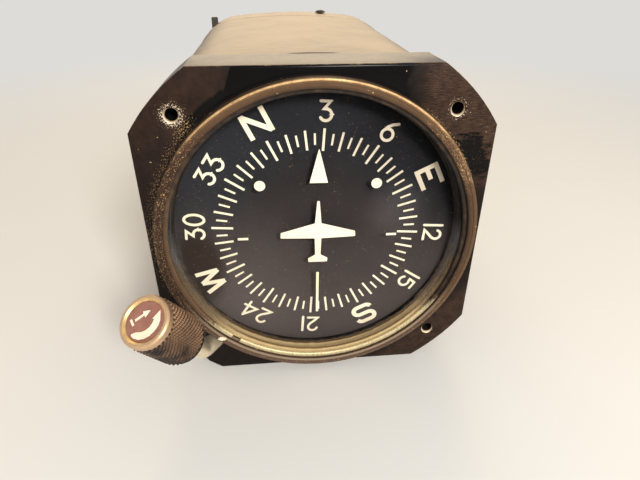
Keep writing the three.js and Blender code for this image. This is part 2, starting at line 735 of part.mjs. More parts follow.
// Outer gimbal.
const ringTop = gimbalOuterRadius + gimbalBossRise;
const gearSeat = webThickness - mitreBack;
const gimbalFoot = gearSeat;
function ringBand(inner, outer, width) {
  return tube(inner, outer, -width / 2, width / 2, midSides);
}
function outerGimbal() {
  let body = union(ringBand(gimbalInnerRadius, gimbalOuterRadius, gimbalWidth).rotateY(Math.PI / 2));
  const inside = gimbalInnerRadius + seatGap;
  body = body.add(solid(rod(gimbalBossRadius, inside, ringTop)));
  body = body.add(solid(rod(gimbalBossRadius, gimbalFoot, -inside)));
  body = cut(
    body,
    rod(pivotRadius + seatClearance, ringTop - pivotSeatDepth, ringTop + overrun),
    rod(pivotRadius + seatClearance, gimbalFoot - overrun, gimbalFoot + pivotSeatDepth),
    rod(tiltBearingRadius + seatClearance, gimbalInnerRadius - overrun, gimbalOuterRadius + overrun)
      .rotateX(Math.PI / 2),
    rod(tiltBearingRadius + seatClearance, gimbalInnerRadius - overrun, gimbalOuterRadius + overrun)
      .rotateX(-Math.PI / 2),
    rod(nozzleRadius + seatClearance, gimbalInnerRadius - overrun, gimbalOuterRadius + overrun)
      .rotateX(-THREE.MathUtils.degToRad(nozzleAngleDegrees)),
    rod(weightStudRadius + seatClearance, gimbalInnerRadius - overrun, gimbalOuterRadius + overrun)
      .rotateX(-THREE.MathUtils.degToRad(weightAngleDegrees)),
  );
  return surface(body);
}
gimbal.add(piece('outer_gimbal', outerGimbal(), aluminium));
gimbal.add(piece('gimbal_gear', mitreGear(pivotRadius + seatClearance), brass));

const plateTop = plateHalfGap + plateThickness;
const pivotEnd = plateTop - seatGap;
const manifoldBottom = plateHalfGap - manifoldHeight;
gimbal.add(piece('upper_pivot', turned([[0, ringTop - pivotSeatDepth + seatGap], [pivotRadius, ringTop
  - pivotSeatDepth + seatGap], [pivotRadius, ringTop], [pivotPostRadius, ringTop], [pivotPostRadius,
  plateHalfGap - seatGap], [pivotRadius, plateHalfGap - seatGap], [pivotRadius, pivotEnd], [0, pivotEnd]],
midSides), steel));
gimbal.add(piece('lower_pivot', turned([[0, -pivotEnd], [pivotRadius, -pivotEnd], [pivotRadius, -mitreBack
  - pivotFlangeThickness], [pivotFlangeRadius, -mitreBack - pivotFlangeThickness], [pivotFlangeRadius,
  -mitreBack], [pivotRadius, -mitreBack], [pivotRadius, gimbalFoot + pivotSeatDepth - seatGap], [0,
  gimbalFoot + pivotSeatDepth - seatGap]], midSides), steel));

// The setting gear's flat face seats under the gimbal gear. Its cone's tip is on the shaft's line.
const shaftLevel = -holeOffset;
const gearRatioCone = Math.atan2(pinionTeeth, crownTeeth);
const shaftSide = Math.atan2(-shaftAxis.y, -shaftAxis.x);
const crown = {
  teeth: crownTeeth, radius: crownRadius, cone: Math.PI / 2 - gearRatioCone,
  faceShare: 1 - crownInnerRadius / crownRadius, addendum: crownAddendum, dedendum: crownDedendum,
  toothShare: crownToothShare, pointed: true,
};
function settingGear() {
  const seat = -(mitreBack + holeOffset - 2 * mitreBack);
  const outer = crownRadius;
  const geometry = bevelGear({
    ...crown,
    before: [[crownInnerRadius, seat], [outer, seat]],
    after: [],
  });
  return geometry.rotateX(Math.PI).rotateZ(shaftSide + Math.PI / crownTeeth).translate(0, 0, shaftLevel);
}
gimbal.add(piece('setting_gear', settingGear(), brass));

const nozzleTurn = -THREE.MathUtils.degToRad(nozzleAngleDegrees);
const weightTurn = -THREE.MathUtils.degToRad(weightAngleDegrees);
const outerSeat = gimbalOuterRadius + seatGap;
gimbal.add(piece('air_nozzle', turned([[nozzleBoreRadius, nozzleTip], [nozzleRadius, nozzleTip],
  [nozzleRadius, outerSeat], [nozzleHeadRadius, outerSeat], [nozzleHeadRadius, outerSeat
    + nozzleHeadHeight], [nozzleBoreRadius, outerSeat + nozzleHeadHeight]], smallSides)
  .rotateX(nozzleTurn), brass));
gimbal.add(piece('balance_weight', turned([[0, gimbalInnerRadius], [weightStudRadius, gimbalInnerRadius],
  [weightStudRadius, outerSeat], [weightRadius, outerSeat], [weightRadius, outerSeat + weightHeight],
  [0, outerSeat + weightHeight]], smallSides).rotateX(weightTurn), brass));
for (const [turn, side] of [[Math.PI / 2, 'front'], [-Math.PI / 2, 'rear']]) {
  gimbal.add(piece(`tilt_bearing_${side}`, tube(trunnionRadius + runClearance, tiltBearingRadius,
    gimbalInnerRadius + seatGap, gimbalOuterRadius).rotateX(turn), steel));
}

// Rotor frame and rotor.
function rotorFrame() {
  let body = union(ringBand(frameInnerRadius, frameOuterRadius, frameHeight));
  for (const turn of [Math.PI / 2, -Math.PI / 2]) {
    body = cut(
      body,
      rod(trunnionRadius + seatClearance, frameInnerRadius - overrun, frameOuterRadius + overrun)
        .rotateX(turn),
      rod(rotorBearingRadius + seatClearance, frameInnerRadius - overrun, frameOuterRadius + overrun)
        .rotateY(turn),
    );
  }
  return surface(body);
}
gimbal.add(piece('rotor_frame', rotorFrame(), aluminium));
for (const [turn, side] of [[Math.PI / 2, 'front'], [-Math.PI / 2, 'rear']]) {
  gimbal.add(piece(`trunnion_${side}`, turned([[0, frameInnerRadius + seatGap], [trunnionRadius,
    frameInnerRadius + seatGap], [trunnionRadius, frameOuterRadius + seatGap / 2],
  [trunnionCollarRadius, frameOuterRadius + seatGap / 2], [trunnionCollarRadius, gimbalInnerRadius
    - seatGap / 2], [trunnionRadius, gimbalInnerRadius - seatGap / 2], [trunnionRadius, gimbalOuterRadius],
  [0, gimbalOuterRadius]], smallSides).rotateX(turn), steel));
}
for (const [turn, side] of [[-Math.PI / 2, 'left'], [Math.PI / 2, 'right']]) {
  gimbal.add(piece(`rotor_bearing_${side}`, tube(rotorShaftRadius + runClearance, rotorBearingRadius,
    frameInnerRadius + seatClearance, frameOuterRadius - seatClearance).rotateY(turn), steel));
}

function rotorBody() {
  const half = rotorWidth / 2;
  const web = rotorWebWidth / 2;
  const bore = rotorShaftRadius + seatClearance;
  let body = union(turned([[bore, -half], [rotorHubRadius, -half], [rotorHubRadius, -web],
    [rotorRimInnerRadius, -web], [rotorRimInnerRadius, -half], [rotorRadius, -half], [rotorRadius, half],
    [rotorRimInnerRadius, half], [rotorRimInnerRadius, web], [rotorHubRadius, web], [rotorHubRadius, half],
    [bore, half]], midSides));
  for (let i = 0; i < bucketCount; i += 1) {
    const angle = 2 * Math.PI * (i + 0.5) / bucketCount;
    body = cut(body, rod(bucketRadius, -bucketWidth / 2, bucketWidth / 2, 6)
      .translate(rotorRadius * Math.cos(angle), rotorRadius * Math.sin(angle), 0));
  }
  return surface(body).rotateY(Math.PI / 2);
}
gimbal.add(piece('rotor', rotorBody(), brass));
gimbal.add(piece('rotor_shaft', rod(rotorShaftRadius, -rotorShaftHalf, rotorShaftHalf)
  .rotateY(Math.PI / 2), steel));

// Gimbal frame and air supply.
function gimbalFrame() {
  const frontFace = frontDepth - gimbalSetBack;
  const rearFace = frameRearGap;
  const half = frameWidth / 2;
  let body = union(block(-half, half, frontFace, rearFace + plateThickness, -plateTop, plateTop));
  body = cut(body, block(-half - overrun, half + overrun, frontFace + plateThickness, rearFace,
    -plateHalfGap, plateHalfGap));
  const opening = plateTop - footHeight;
  body = cut(body, block(-half - overrun, half + overrun, frontFace - overrun, frontFace + plateThickness
    + overrun, -opening, opening));
  body = cut(
    body,
    rod(pivotBearingRadius + seatClearance, -plateTop - overrun, plateTop + overrun),
    rod(frameWindowRadius, rearFace - overrun, rearFace + plateThickness + overrun, midSides)
      .rotateX(-Math.PI / 2),
    rod(airTubeRadius + seatClearance, rearFace - overrun, rearFace + plateThickness + overrun)
      .rotateX(-Math.PI / 2).translate(0, 0, airTubeHeight),
  );
  for (const sx of [-1, 1]) {
    for (const sz of [-1, 1]) {
      body = cut(body, screwHole(smallScrewRadius, frontFace - overrun, frontFace
        + plateThickness + overrun).rotateX(-Math.PI / 2).translate(sx * footScrewAcross, 0,
        sz * (plateTop - footScrewDrop)));
    }
  }
  return surface(body);
}
gimbal.add(piece('gimbal_frame', gimbalFrame(), blackAnodised));
for (const [sx, side] of [[-1, 'left'], [1, 'right']]) {
  for (const [sz, level] of [[1, 'upper'], [-1, 'lower']]) {
    const geometry = screw(smallScrewRadius, smallScrewHeadRadius, smallScrewHeadHeight,
      plateThickness + smallScrewDepth - seatGap);
    front.add(piece(`frame_screw_${side}_${level}`, along(geometry, new THREE.Vector3(0, 0, -1),
      new THREE.Vector3(sx * footScrewAcross, sz * (plateTop - footScrewDrop), -frontDepth
        - plateThickness)), steel));
  }
}
gimbal.add(piece('upper_bearing', tube(pivotRadius + runClearance, pivotBearingRadius, plateHalfGap,
  plateTop), steel));
gimbal.add(piece('lower_bearing', tube(pivotRadius + runClearance, pivotBearingRadius, -plateTop,
  -plateHalfGap), steel));

function airManifold() {
  const body = union(tube(pivotPostRadius + runClearance, manifoldRadius, manifoldBottom, plateHalfGap,
    midSides));
  return surface(cut(body, rod(airTubeRadius + seatClearance, manifoldRadius - airTubeRadius,
    manifoldRadius + overrun).rotateX(-Math.PI / 2).translate(0, 0, airTubeHeight)));
}
gimbal.add(piece('air_manifold', airManifold(), aluminium));
const airTubeFrom = manifoldRadius - airTubeRadius + seatGap;
const airTubeTo = caseLength + frontDepth - gimbalSetBack - coverWall - overrun - seatGap;
gimbal.add(piece('air_tube', tube(airTubeBore, airTubeRadius, airTubeFrom, airTubeTo)
  .rotateX(-Math.PI / 2).translate(0, 0, airTubeHeight), aluminium));

// Elbow, drive and setting shaft.
function elbowPath(innerLeg, outerLeg) {
  const path = new THREE.CurvePath();
  const entry = bend.clone().addScaledVector(shaftAxis, elbowBend);
  const exit = bend.clone().addScaledVector(knobAxis, elbowBend);
  path.add(new THREE.LineCurve3(bend.clone().addScaledVector(shaftAxis, innerLeg), entry));
  path.add(new THREE.QuadraticBezierCurve3(entry, bend.clone(), exit));
  path.add(new THREE.LineCurve3(exit, bend.clone().addScaledVector(knobAxis, outerLeg)));
  return path;
}
// A round bar swept along the elbow's path, with sections where the legs meet the bend.
function elbowBar(radius, innerLeg, outerLeg) {
  const path = elbowPath(innerLeg, outerLeg);
  const centres = [path.curves[0].getPoint(0)];
  const tangents = [path.curves[0].getTangent(0)];
  for (let i = 0; i <= elbowBendSteps; i += 1) {
    centres.push(path.curves[1].getPoint(i / elbowBendSteps));
    tangents.push(path.curves[1].getTangent(i / elbowBendSteps));
  }
  centres.push(path.curves[2].getPoint(1));
  tangents.push(path.curves[2].getTangent(1));
  const across = new THREE.Vector3().crossVectors(shaftAxis, knobAxis).normalize();
  const positions = [];
  for (let i = 0; i < centres.length; i += 1) {
    const side = new THREE.Vector3().crossVectors(tangents[i], across).normalize();
    for (let k = 0; k < elbowSides; k += 1) {
      const angle = 2 * Math.PI * k / elbowSides;
      const point = centres[i].clone().addScaledVector(across, radius * Math.cos(angle))
        .addScaledVector(side, -radius * Math.sin(angle));
      positions.push(point.x, point.y, point.z);
    }
  }
  const index = [];
  for (let i = 0; i + 1 < centres.length; i += 1) {
    for (let k = 0; k < elbowSides; k += 1) {
      const next = (k + 1) % elbowSides;
      const a = i * elbowSides + k;
      const b = i * elbowSides + next;
      const c = a + elbowSides;
      const d = b + elbowSides;
      index.push(a, d, b, a, c, d);
    }
  }
  const last = (centres.length - 1) * elbowSides;
  for (let k = 1; k + 1 < elbowSides; k += 1) {
    index.push(0, k, k + 1);
    index.push(last, last + k + 1, last + k);
  }
  const geometry = new THREE.BufferGeometry();
  geometry.setAttribute('position', new THREE.Float32BufferAttribute(positions, 3));
  geometry.setIndex(index);
  return geometry;
}
const boreRadius = shaftRadius + 2 * runClearance;
const elbow = solid(elbowBar(elbowRadius, elbowInnerLeg, elbowOuterLeg))
  .subtract(solid(elbowBar(boreRadius, elbowInnerLeg + overrun, elbowOuterLeg + overrun)));
assembly.add(piece('knob_elbow', surface(elbow), aluminium));
assembly.add(piece('flexible_drive', elbowBar(driveRadius, driveLeg, driveLeg), darkSteel));

const shaft = new THREE.Group();
shaft.position.copy(bend);
shaft.quaternion.setFromUnitVectors(new THREE.Vector3(0, 0, 1), shaftAxis);
assembly.add(shaft);
const pinionRadius = crownRadius * pinionTeeth / crownTeeth;
const shaftStart = driveLeg + seatGap;
const shoulderStart = elbowInnerLeg + seatGap;
const shoulderEnd = shoulderStart + shoulderLength;
const springStart = shoulderEnd + springWire + seatGap / 2;
const springEnd = springStart + springLength;
const bushStart = springEnd + springWire + seatGap / 2;
const bushEnd = bushStart + settingBushLength;
// At rest the pinion waits outside the setting gear, and full travel brings it into mesh.
// A tooth of the pinion stands up, and a gap of the setting gear waits above it.
const pinionLarge = bendToGimbal - crownRadius - pushTravel;
const pinionBack = pinionLarge - pinionHubLength;
const pinionFace = pushTravel - pinionGap;
const pinionEnd = pinionLarge + pinionFace;
shaft.add(piece('setting_shaft', turned([[0, shaftStart], [shaftRadius, shaftStart], [shaftRadius,
  shoulderStart], [shoulderRadius, shoulderStart], [shoulderRadius, shoulderEnd], [shaftRadius,
  shoulderEnd], [shaftRadius, pinionEnd], [0, pinionEnd]], smallSides), steel));
shaft.add(piece('setting_bush', tube(shaftRadius + runClearance, shaftBoreRadius - seatClearance, bushStart,
  bushEnd), brass));

function settingPinion() {
  const cone = gearRatioCone;
  const tipAt = pinionRadius / Math.tan(cone);
  const hub = pinionHubRadius;
  const bore = (shaftRadius + seatClearance) / Math.cos(Math.PI / pinionTeeth);
  const share = pinionFace / tipAt;
  const teeth = bevelGear({
    teeth: pinionTeeth, radius: pinionRadius, cone, faceShare: share, addendum: crownAddendum,
    dedendum: crownDedendum, toothShare: crownToothShare, pointed: true,
    before: [[bore, -tipAt - pinionHubLength], [hub, -tipAt - pinionHubLength], [hub, -tipAt
      - crownDedendum / 2]],
    after: [[bore, -tipAt * (1 - share)]],
  });
  return teeth.rotateZ(shaftSide).translate(0, 0, tipAt + pinionLarge);
}
shaft.add(piece('setting_pinion', settingPinion(), steel));

// The spring's least gap to itself, between points at least half a turn apart.
function leastGap(centres) {
  let least = Infinity;
  for (let i = 0; i < centres.length; i += 1) {
    for (let j = i + springSteps / 2; j < centres.length; j += 1) {
      least = Math.min(least, centres[i].distanceTo(centres[j]));
    }
  }
  return least - 2 * springWire;
}

// The return spring: one open coil between the shaft's shoulder and the bush.
function coil() {
  const rise = springLength / springTurns;
  const count = springTurns * springSteps;
  const positions = [];
  const centres = [];
  for (let i = 0; i <= count; i += 1) {
    const angle = 2 * Math.PI * i / springSteps;
    const z = springStart + rise * i / springSteps;
    centres.push(new THREE.Vector3(springRadius * Math.cos(angle), springRadius * Math.sin(angle), z));
    for (let k = 0; k < springSides; k += 1) {
      const a = 2 * Math.PI * k / springSides;
      const r = springRadius + springWire * Math.cos(a);
      positions.push(r * Math.cos(angle), r * Math.sin(angle), z + springWire * Math.sin(a));
    }
  }
  const index = [];
  for (let i = 0; i < count; i += 1) {
    for (let k = 0; k < springSides; k += 1) {
      const next = (k + 1) % springSides;
      const a = i * springSides + k;
      const b = i * springSides + next;
      index.push(a, a + springSides, b + springSides, a, b + springSides, b);
    }
  }
  const last = count * springSides;
  for (let k = 1; k + 1 < springSides; k += 1) {
    index.push(0, k, k + 1);
    index.push(last, last + k + 1, last + k);
  }
  console.log('spring gap to itself', leastGap(centres).toFixed(2), 'mm');
  const geometry = new THREE.BufferGeometry();
  geometry.setAttribute('position', new THREE.Float32BufferAttribute(positions, 3));
  geometry.setIndex(index);
  return geometry;
}
shaft.add(piece('return_spring', coil(), steel));

// Knob.
const knob = new THREE.Group();
knob.position.copy(bend);
knob.quaternion.setFromUnitVectors(new THREE.Vector3(0, 0, 1), knobAxis);
assembly.add(knob);
const knobBack = knobFront - knobLength;
const insertSeat = knobFront - knobFaceStep - insertThickness;
const spindleTop = insertSeat - knobEndWall;
const setScrewAt = knobBack + knobLength * setScrewShare;
function knobBody() {
  const bore = shaftRadius + seatClearance;
  const knurlEnd = knobFront - knobRimLength;
  const taper = (knobBackRadius - knobFrontRadius) * knobRimLength / knobLength;
  const seatRadius = insertRadius + seatClearance;
  let body = union(turned([
    [0, knobBack], [knobBackRadius - knobBackEdge, knobBack],
    [knobBackRadius - knobBackEdge / 3, knobBack + knobBackEdge / 3],
    [knobBackRadius, knobBack + knobBackEdge], [knobFrontRadius + taper, knurlEnd - knobEdge],
    [knobFrontRadius - knobEdge / 3, knurlEnd - knobEdge / 2], [knobFrontRadius, knurlEnd],
    [knobFrontRadius, knobFront - knobEdge / 2], [knobFrontRadius - knobEdge / 2, knobFront],
    [seatRadius + knobEdge, knobFront], [seatRadius, knobFront - knobFaceStep],
    [seatRadius, insertSeat], [0, insertSeat],
  ], midSides));
  body = cut(
    body,
    rod(knobCounterRadius, knobBack - overrun, knobBack + knobCounterDepth),
    rod(bore, knobBack, spindleTop + seatGap),
    rod(setScrewRadius + seatClearance, 0, knobBackRadius + overrun).rotateY(Math.PI / 2)
      .translate(0, 0, setScrewAt),
  );
  return surface(body);
}
knob.add(piece('knob', knobBody(), knurled));
knob.add(piece('knob_insert', rod(insertRadius, insertSeat, insertSeat + insertThickness, midSides),
  insertRed));
knob.add(piece('knob_spindle', rod(shaftRadius, driveLeg + seatGap, spindleTop), steel));
knob.add(piece('knob_set_screw', rod(setScrewRadius, shaftRadius + seatGap, knobFrontRadius - knobEdge)
  .rotateY(Math.PI / 2).translate(0, 0, setScrewAt), darkSteel));

// The card shows its heading at rest, and the gear turns with it on the same teeth.
card.children[0].rotation.z = THREE.MathUtils.degToRad(headingDegrees);

// Place the part.
const part = new THREE.Group();
part.add(assembly);
part.updateMatrixWorld(true);
const box = new THREE.Box3().setFromObject(assembly, true);
const middle = box.getCenter(new THREE.Vector3());
assembly.position.set(-middle.x, -middle.y, -box.min.z);
part.updateMatrixWorld(true);

export default part;
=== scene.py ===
"""Looks of a vacuum driven directional gyro. Sizes are in millimetres until a mesh is placed.

The working axes have their origin at the dial's centre on the flange's front plane: X to the
reader's right, Y into the case and Z up. Each sub-assembly is a class, and each finish a dataclass.
"""
import json
import logging
import math
from dataclasses import dataclass, field
from enum import Enum
from typing import Any, Iterable, Optional, Sequence, Union

import bmesh
import bpy
from bpy.types import Material, Mesh, Node, NodeSocket, NodeTree, Object
from mathutils import Matrix, Vector
from mathutils.geometry import tessellate_polygon

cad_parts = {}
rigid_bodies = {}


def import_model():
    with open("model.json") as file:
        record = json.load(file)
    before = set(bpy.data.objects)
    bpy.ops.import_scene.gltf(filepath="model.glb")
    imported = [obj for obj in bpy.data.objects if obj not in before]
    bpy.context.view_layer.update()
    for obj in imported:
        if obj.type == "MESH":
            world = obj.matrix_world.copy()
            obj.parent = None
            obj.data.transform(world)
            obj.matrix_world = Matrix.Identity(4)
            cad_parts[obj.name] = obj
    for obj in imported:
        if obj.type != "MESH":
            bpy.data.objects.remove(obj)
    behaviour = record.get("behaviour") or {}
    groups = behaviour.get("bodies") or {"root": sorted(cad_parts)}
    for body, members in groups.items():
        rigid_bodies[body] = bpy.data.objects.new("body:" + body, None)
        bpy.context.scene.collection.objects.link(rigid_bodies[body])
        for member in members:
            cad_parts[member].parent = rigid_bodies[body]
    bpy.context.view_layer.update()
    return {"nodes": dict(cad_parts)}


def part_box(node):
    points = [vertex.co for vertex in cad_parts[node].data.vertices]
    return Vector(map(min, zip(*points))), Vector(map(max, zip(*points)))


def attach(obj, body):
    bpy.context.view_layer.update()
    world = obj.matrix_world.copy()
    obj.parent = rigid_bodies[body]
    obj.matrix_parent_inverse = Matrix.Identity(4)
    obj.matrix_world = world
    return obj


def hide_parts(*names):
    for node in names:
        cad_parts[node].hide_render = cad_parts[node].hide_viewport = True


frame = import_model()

LOG = logging.getLogger("gyro")
MM = 0.001
Pair = tuple[float, float]
Triple = tuple[float, float, float]
Colour = tuple[float, float, float, float]


# Frames of reference

GLASS_RISE = 1.4


def datum() -> Vector:
    """Finds the dial's centre on the flange's front plane.

    Returns:
        The point in the row frame, in metres.
    """
    low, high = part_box("glass")
    return Vector(((low.x + high.x) / 2, low.y + GLASS_RISE * MM, (low.z + high.z) / 2))


ORIGIN = datum()
TO_ROW = Matrix.Translation(ORIGIN) @ Matrix.Scale(MM, 4)
PLAIN = Matrix.Identity(4)
FRONT = Matrix(((1, 0, 0, 0), (0, 0, -1, 0), (0, 1, 0, 0), (0, 0, 0, 1)))


def axes(right: Vector, up: Vector, out: Vector, at: Vector) -> Matrix:
    """Makes the matrix of a turned set of axes.

    Args:
        right: The first axis.
        up: The second axis.
        out: The third axis.
        at: The origin.

    Returns:
        The matrix from those axes to the ones that they are given in.
    """
    columns = [right.normalized(), up.normalized(), out.normalized()]
    turn = Matrix([[column[i] for column in columns] for i in range(3)]).to_4x4()
    return Matrix.Translation(at) @ turn


# Node graphs


class Value:
    """A socket that numbers and other sockets can be combined with."""

    def __init__(self, graph: "Graph", socket: NodeSocket) -> None:
        """Keeps the socket and the graph that it belongs to."""
        self.graph = graph
        self.socket = socket

    def _with(self, operation: str, *others: "Number") -> "Value":
        """Adds a Math node that takes this value first."""
        return self.graph.math(operation, self, *others)

    def __add__(self, other: "Number") -> "Value":
        """Returns self + other."""
        return self._with("ADD", other)

    __radd__ = __add__

    def __mul__(self, other: "Number") -> "Value":
        """Returns self * other."""
        return self._with("MULTIPLY", other)

    __rmul__ = __mul__

    def __sub__(self, other: "Number") -> "Value":
        """Returns self - other."""
        return self._with("SUBTRACT", other)

    def __rsub__(self, other: "Number") -> "Value":
        """Returns other - self."""
        return self.graph.math("SUBTRACT", other, self)

    def __truediv__(self, other: "Number") -> "Value":
        """Returns self / other."""
        return self._with("DIVIDE", other)

    def __rtruediv__(self, other: "Number") -> "Value":
        """Returns other / self."""
        return self.graph.math("DIVIDE", other, self)

    def __abs__(self) -> "Value":
        """Returns the absolute value."""
        return self._with("ABSOLUTE")

    def root(self) -> "Value":
        """Returns the square root."""
        return self._with("SQRT")

    def least(self, other: "Number") -> "Value":
        """Returns the lesser of two values."""
        return self._with("MINIMUM", other)

    def most(self, other: "Number") -> "Value":
        """Returns the greater of two values."""
        return self._with("MAXIMUM", other)

    def fade(self, low: float, high: float) -> "Value":
        """Turns the span from low to high into a smooth step.

        Args:
            low: Where the step is 0.
            high: Where it is 1, which may be below low.

        Returns:
            A value from 0 to 1.
        """
        start, end, flip = (low, high, False) if low < high else (high, low, True)
        step = self.graph.value("ShaderNodeMapRange", {"interpolation_type": "SMOOTHSTEP"},
                                {0: self, 1: start, 2: end, 3: 0.0, 4: 1.0})
        return 1.0 - step if flip else step

    def span(self, start: float, full: float, last: float, end: float) -> "Value":
        """Makes a smooth band.

        Args:
            start: Where it leaves 0.
            full: Where it reaches 1.
            last: Where it leaves 1.
            end: Where it is 0 again.

        Returns:
            A value from 0 to 1.
        """
        return self.fade(start, full) * self.fade(end, last)


Number = Union[float, int, Value]


def reach(across: Value, along: Value) -> Value:
    """Returns the length of a step, from its two parts."""
    return (across * across + along * along).root()


class Graph:
    """A node tree, with one method that adds any node."""

    def __init__(self, tree: NodeTree) -> None:
        """Keeps the tree."""
        self.tree = tree

    def node(self, kind: str, settings: Optional[dict] = None, values: Optional[dict] = None) -> Node:
        """Adds a node.

        Args:
            kind: The node's type.
            settings: Attributes that are set first.
            values: Values or links, by socket name or number.

        Returns:
            The new node.
        """
        made = self.tree.nodes.new(kind)
        for name, setting in (settings or {}).items():
            setattr(made, name, setting)
        for key, value in (values or {}).items():
            socket = made.inputs[key]
            if isinstance(value, Value):
                self.tree.links.new(value.socket, socket)
            elif isinstance(value, NodeSocket):
                self.tree.links.new(value, socket)
            else:
                socket.default_value = value
        return made

    def value(self, kind: str, settings: Optional[dict] = None, values: Optional[dict] = None,
              out: Union[int, str] = 0) -> Value:
        """Adds a node and returns one of its outputs, the first unless out says otherwise."""
        return Value(self, self.node(kind, settings, values).outputs[out])

    def math(self, operation: str, *values: Number) -> Value:
        """Adds a Math node and returns its value."""
        return self.value("ShaderNodeMath", {"operation": operation}, dict(enumerate(values)))

    def vector(self, operation: str, *values: object, out: str = "Vector") -> Value:
        """Adds a Vector Math node and returns the named output."""
        return self.value("ShaderNodeVectorMath", {"operation": operation}, dict(enumerate(values)), out)

    def split(self, vector: Value) -> list[Value]:
        """Returns a vector's three parts."""
        made = self.node("ShaderNodeSeparateXYZ", None, {0: vector})
        return [Value(self, part) for part in made.outputs]

    def join(self, x: Number, y: Number, z: Number) -> Value:
        """Returns a vector of three parts."""
        return self.value("ShaderNodeCombineXYZ", None, {0: x, 1: y, 2: z})

    def seen(self) -> Value:
        """Returns 1 where the eye looks, straight or by way of a gloss or a glass, and 0 for light alone."""
        rays = self.node("ShaderNodeLightPath").outputs
        straight, glossy, clear = [Value(self, rays[f"Is {kind} Ray"])
                                   for kind in ("Camera", "Glossy", "Transmission")]
        return straight.most(glossy).most(clear)


def srgb(red: float, green: float, blue: float) -> Colour:
    """Turns a colour of 0 to 255 as it looks on a screen into the linear one that a shader takes.

    Args:
        red: Red, 0 to 255.
        green: Green, 0 to 255.
        blue: Blue, 0 to 255.

    Returns:
        The linear colour with an alpha of 1.
    """
    parts = [c / 255 for c in (red, green, blue)]
    linear = [c / 12.92 if c <= 0.04045 else ((c + 0.055) / 1.055) ** 2.4 for c in parts]
    return (linear[0], linear[1], linear[2], 1.0)


class Surface(Graph):
    """A material's shader graph, in millimetres about the dial's centre."""

    def __init__(self, name: str) -> None:
        """Starts an empty material of that name."""
        self.material = bpy.data.materials.new(name)
        self.material.use_nodes = True
        super().__init__(self.material.node_tree)
        self.tree.nodes.clear()
        place = self.value("ShaderNodeTexCoord", out="Object")
        centred = self.vector("SUBTRACT", place, tuple(ORIGIN))
        self.place = self.vector("SCALE", centred)
        self.place.socket.node.inputs["Scale"].default_value = 1 / MM
        self.x, self.y, self.z = self.split(self.place)
        self.radius = reach(self.x, self.z)

    def noise(self, scale: float, detail: float = 4.0, rough: float = 0.6,
              stretch: Optional[Triple] = None) -> Value:
        """Adds a noise texture.

        Args:
            scale: Features per millimetre, roughly.
            detail: Octaves.
            rough: How strong the fine octaves are.
            stretch: Scale of each axis.

        Returns:
            The noise, about 0.5.
        """
        at = self.vector("MULTIPLY", self.place, stretch) if stretch else self.place
        return self.value("ShaderNodeTexNoise", None,
                          {"Vector": at, "Scale": scale, "Detail": detail, "Roughness": rough})

    def mix(self, factor: Number, first: object, second: object) -> Value:
        """Mixes two colours by a factor."""
        return self.value("ShaderNodeMix", {"data_type": "RGBA"}, {0: factor, 6: first, 7: second}, 2)

    def bump(self, height: Value, strength: float, distance: float) -> Value:
        """Adds a bump of a height in shares of a distance in millimetres."""
        return self.value("ShaderNodeBump", None,
                          {"Height": height, "Strength": strength, "Distance": distance * MM})

    def principled(self, values: dict) -> NodeSocket:
        """Adds a Principled shader with those values."""
        return self.node("ShaderNodeBsdfPrincipled", None, values).outputs[0]

    def layered(self, share: Number, under: NodeSocket, over: NodeSocket) -> NodeSocket:
        """Puts one shader over a share of another."""
        return self.node("ShaderNodeMixShader", None, {0: share, 1: under, 2: over}).outputs[0]

    def finish(self, shader: NodeSocket) -> Material:
        """Links a shader to the output and returns the material."""
        self.node("ShaderNodeOutputMaterial", None, {"Surface": shader})
        return self.material


# Finishes

HOLE_SIDES = ((-1, 1), (1, 1), (1, -1))


class FrontSurface(Surface):
    """The front casting's noises, and the places on it that several of its looks share."""

    def __init__(self, paint: "FrontPaint") -> None:
        """Works the places out from the paint's sizes."""
        super().__init__(paint.name)
        x, y, z, radius = self.x, self.y, self.z, self.radius
        self.cloud = self.noise(0.07, 5.0)
        self.mottle = self.noise(0.42, 5.0, 0.62)
        self.grain = self.noise(4.2, 3.0)
        self.lines = self.noise(2.4, 3.0, stretch=(0.22, 1.0, 2.4))
        self.face = y.fade(0.6, 0.1)
        self.crown = z.fade(20.0, 34.0)
        self.upper_right = x.fade(20.0, 26.0) * z.fade(8.0, 16.0)
        self.low_right = (x - z).fade(50.0, 62.0)
        self.on_ring = radius.fade(paint.ring_radius + 0.1, paint.ring_radius - 0.1) * y.fade(-0.6, -1.2)
        self.wall = y.fade(-1.5, -2.1) * radius.fade(paint.ring_radius - 0.12, paint.ring_radius - 0.04)
        self.rear_edge = y.fade(13.2, 13.8) * radius.fade(38.0, 40.0)
        self.holes: list[tuple[Value, Value]] = []
        for side_x, side_z in HOLE_SIDES:
            dx = x - side_x * paint.hole_offset
            dz = z - side_z * paint.hole_offset
            to_worn_side = dx * -0.6 - dz * 0.8
            self.holes.append((reach(dx, dz), to_worn_side))
        first, second, third = [distance for distance, _ in self.holes]
        self.from_hole = first.least(second).least(third)
        self.from_upper_left_hole = first


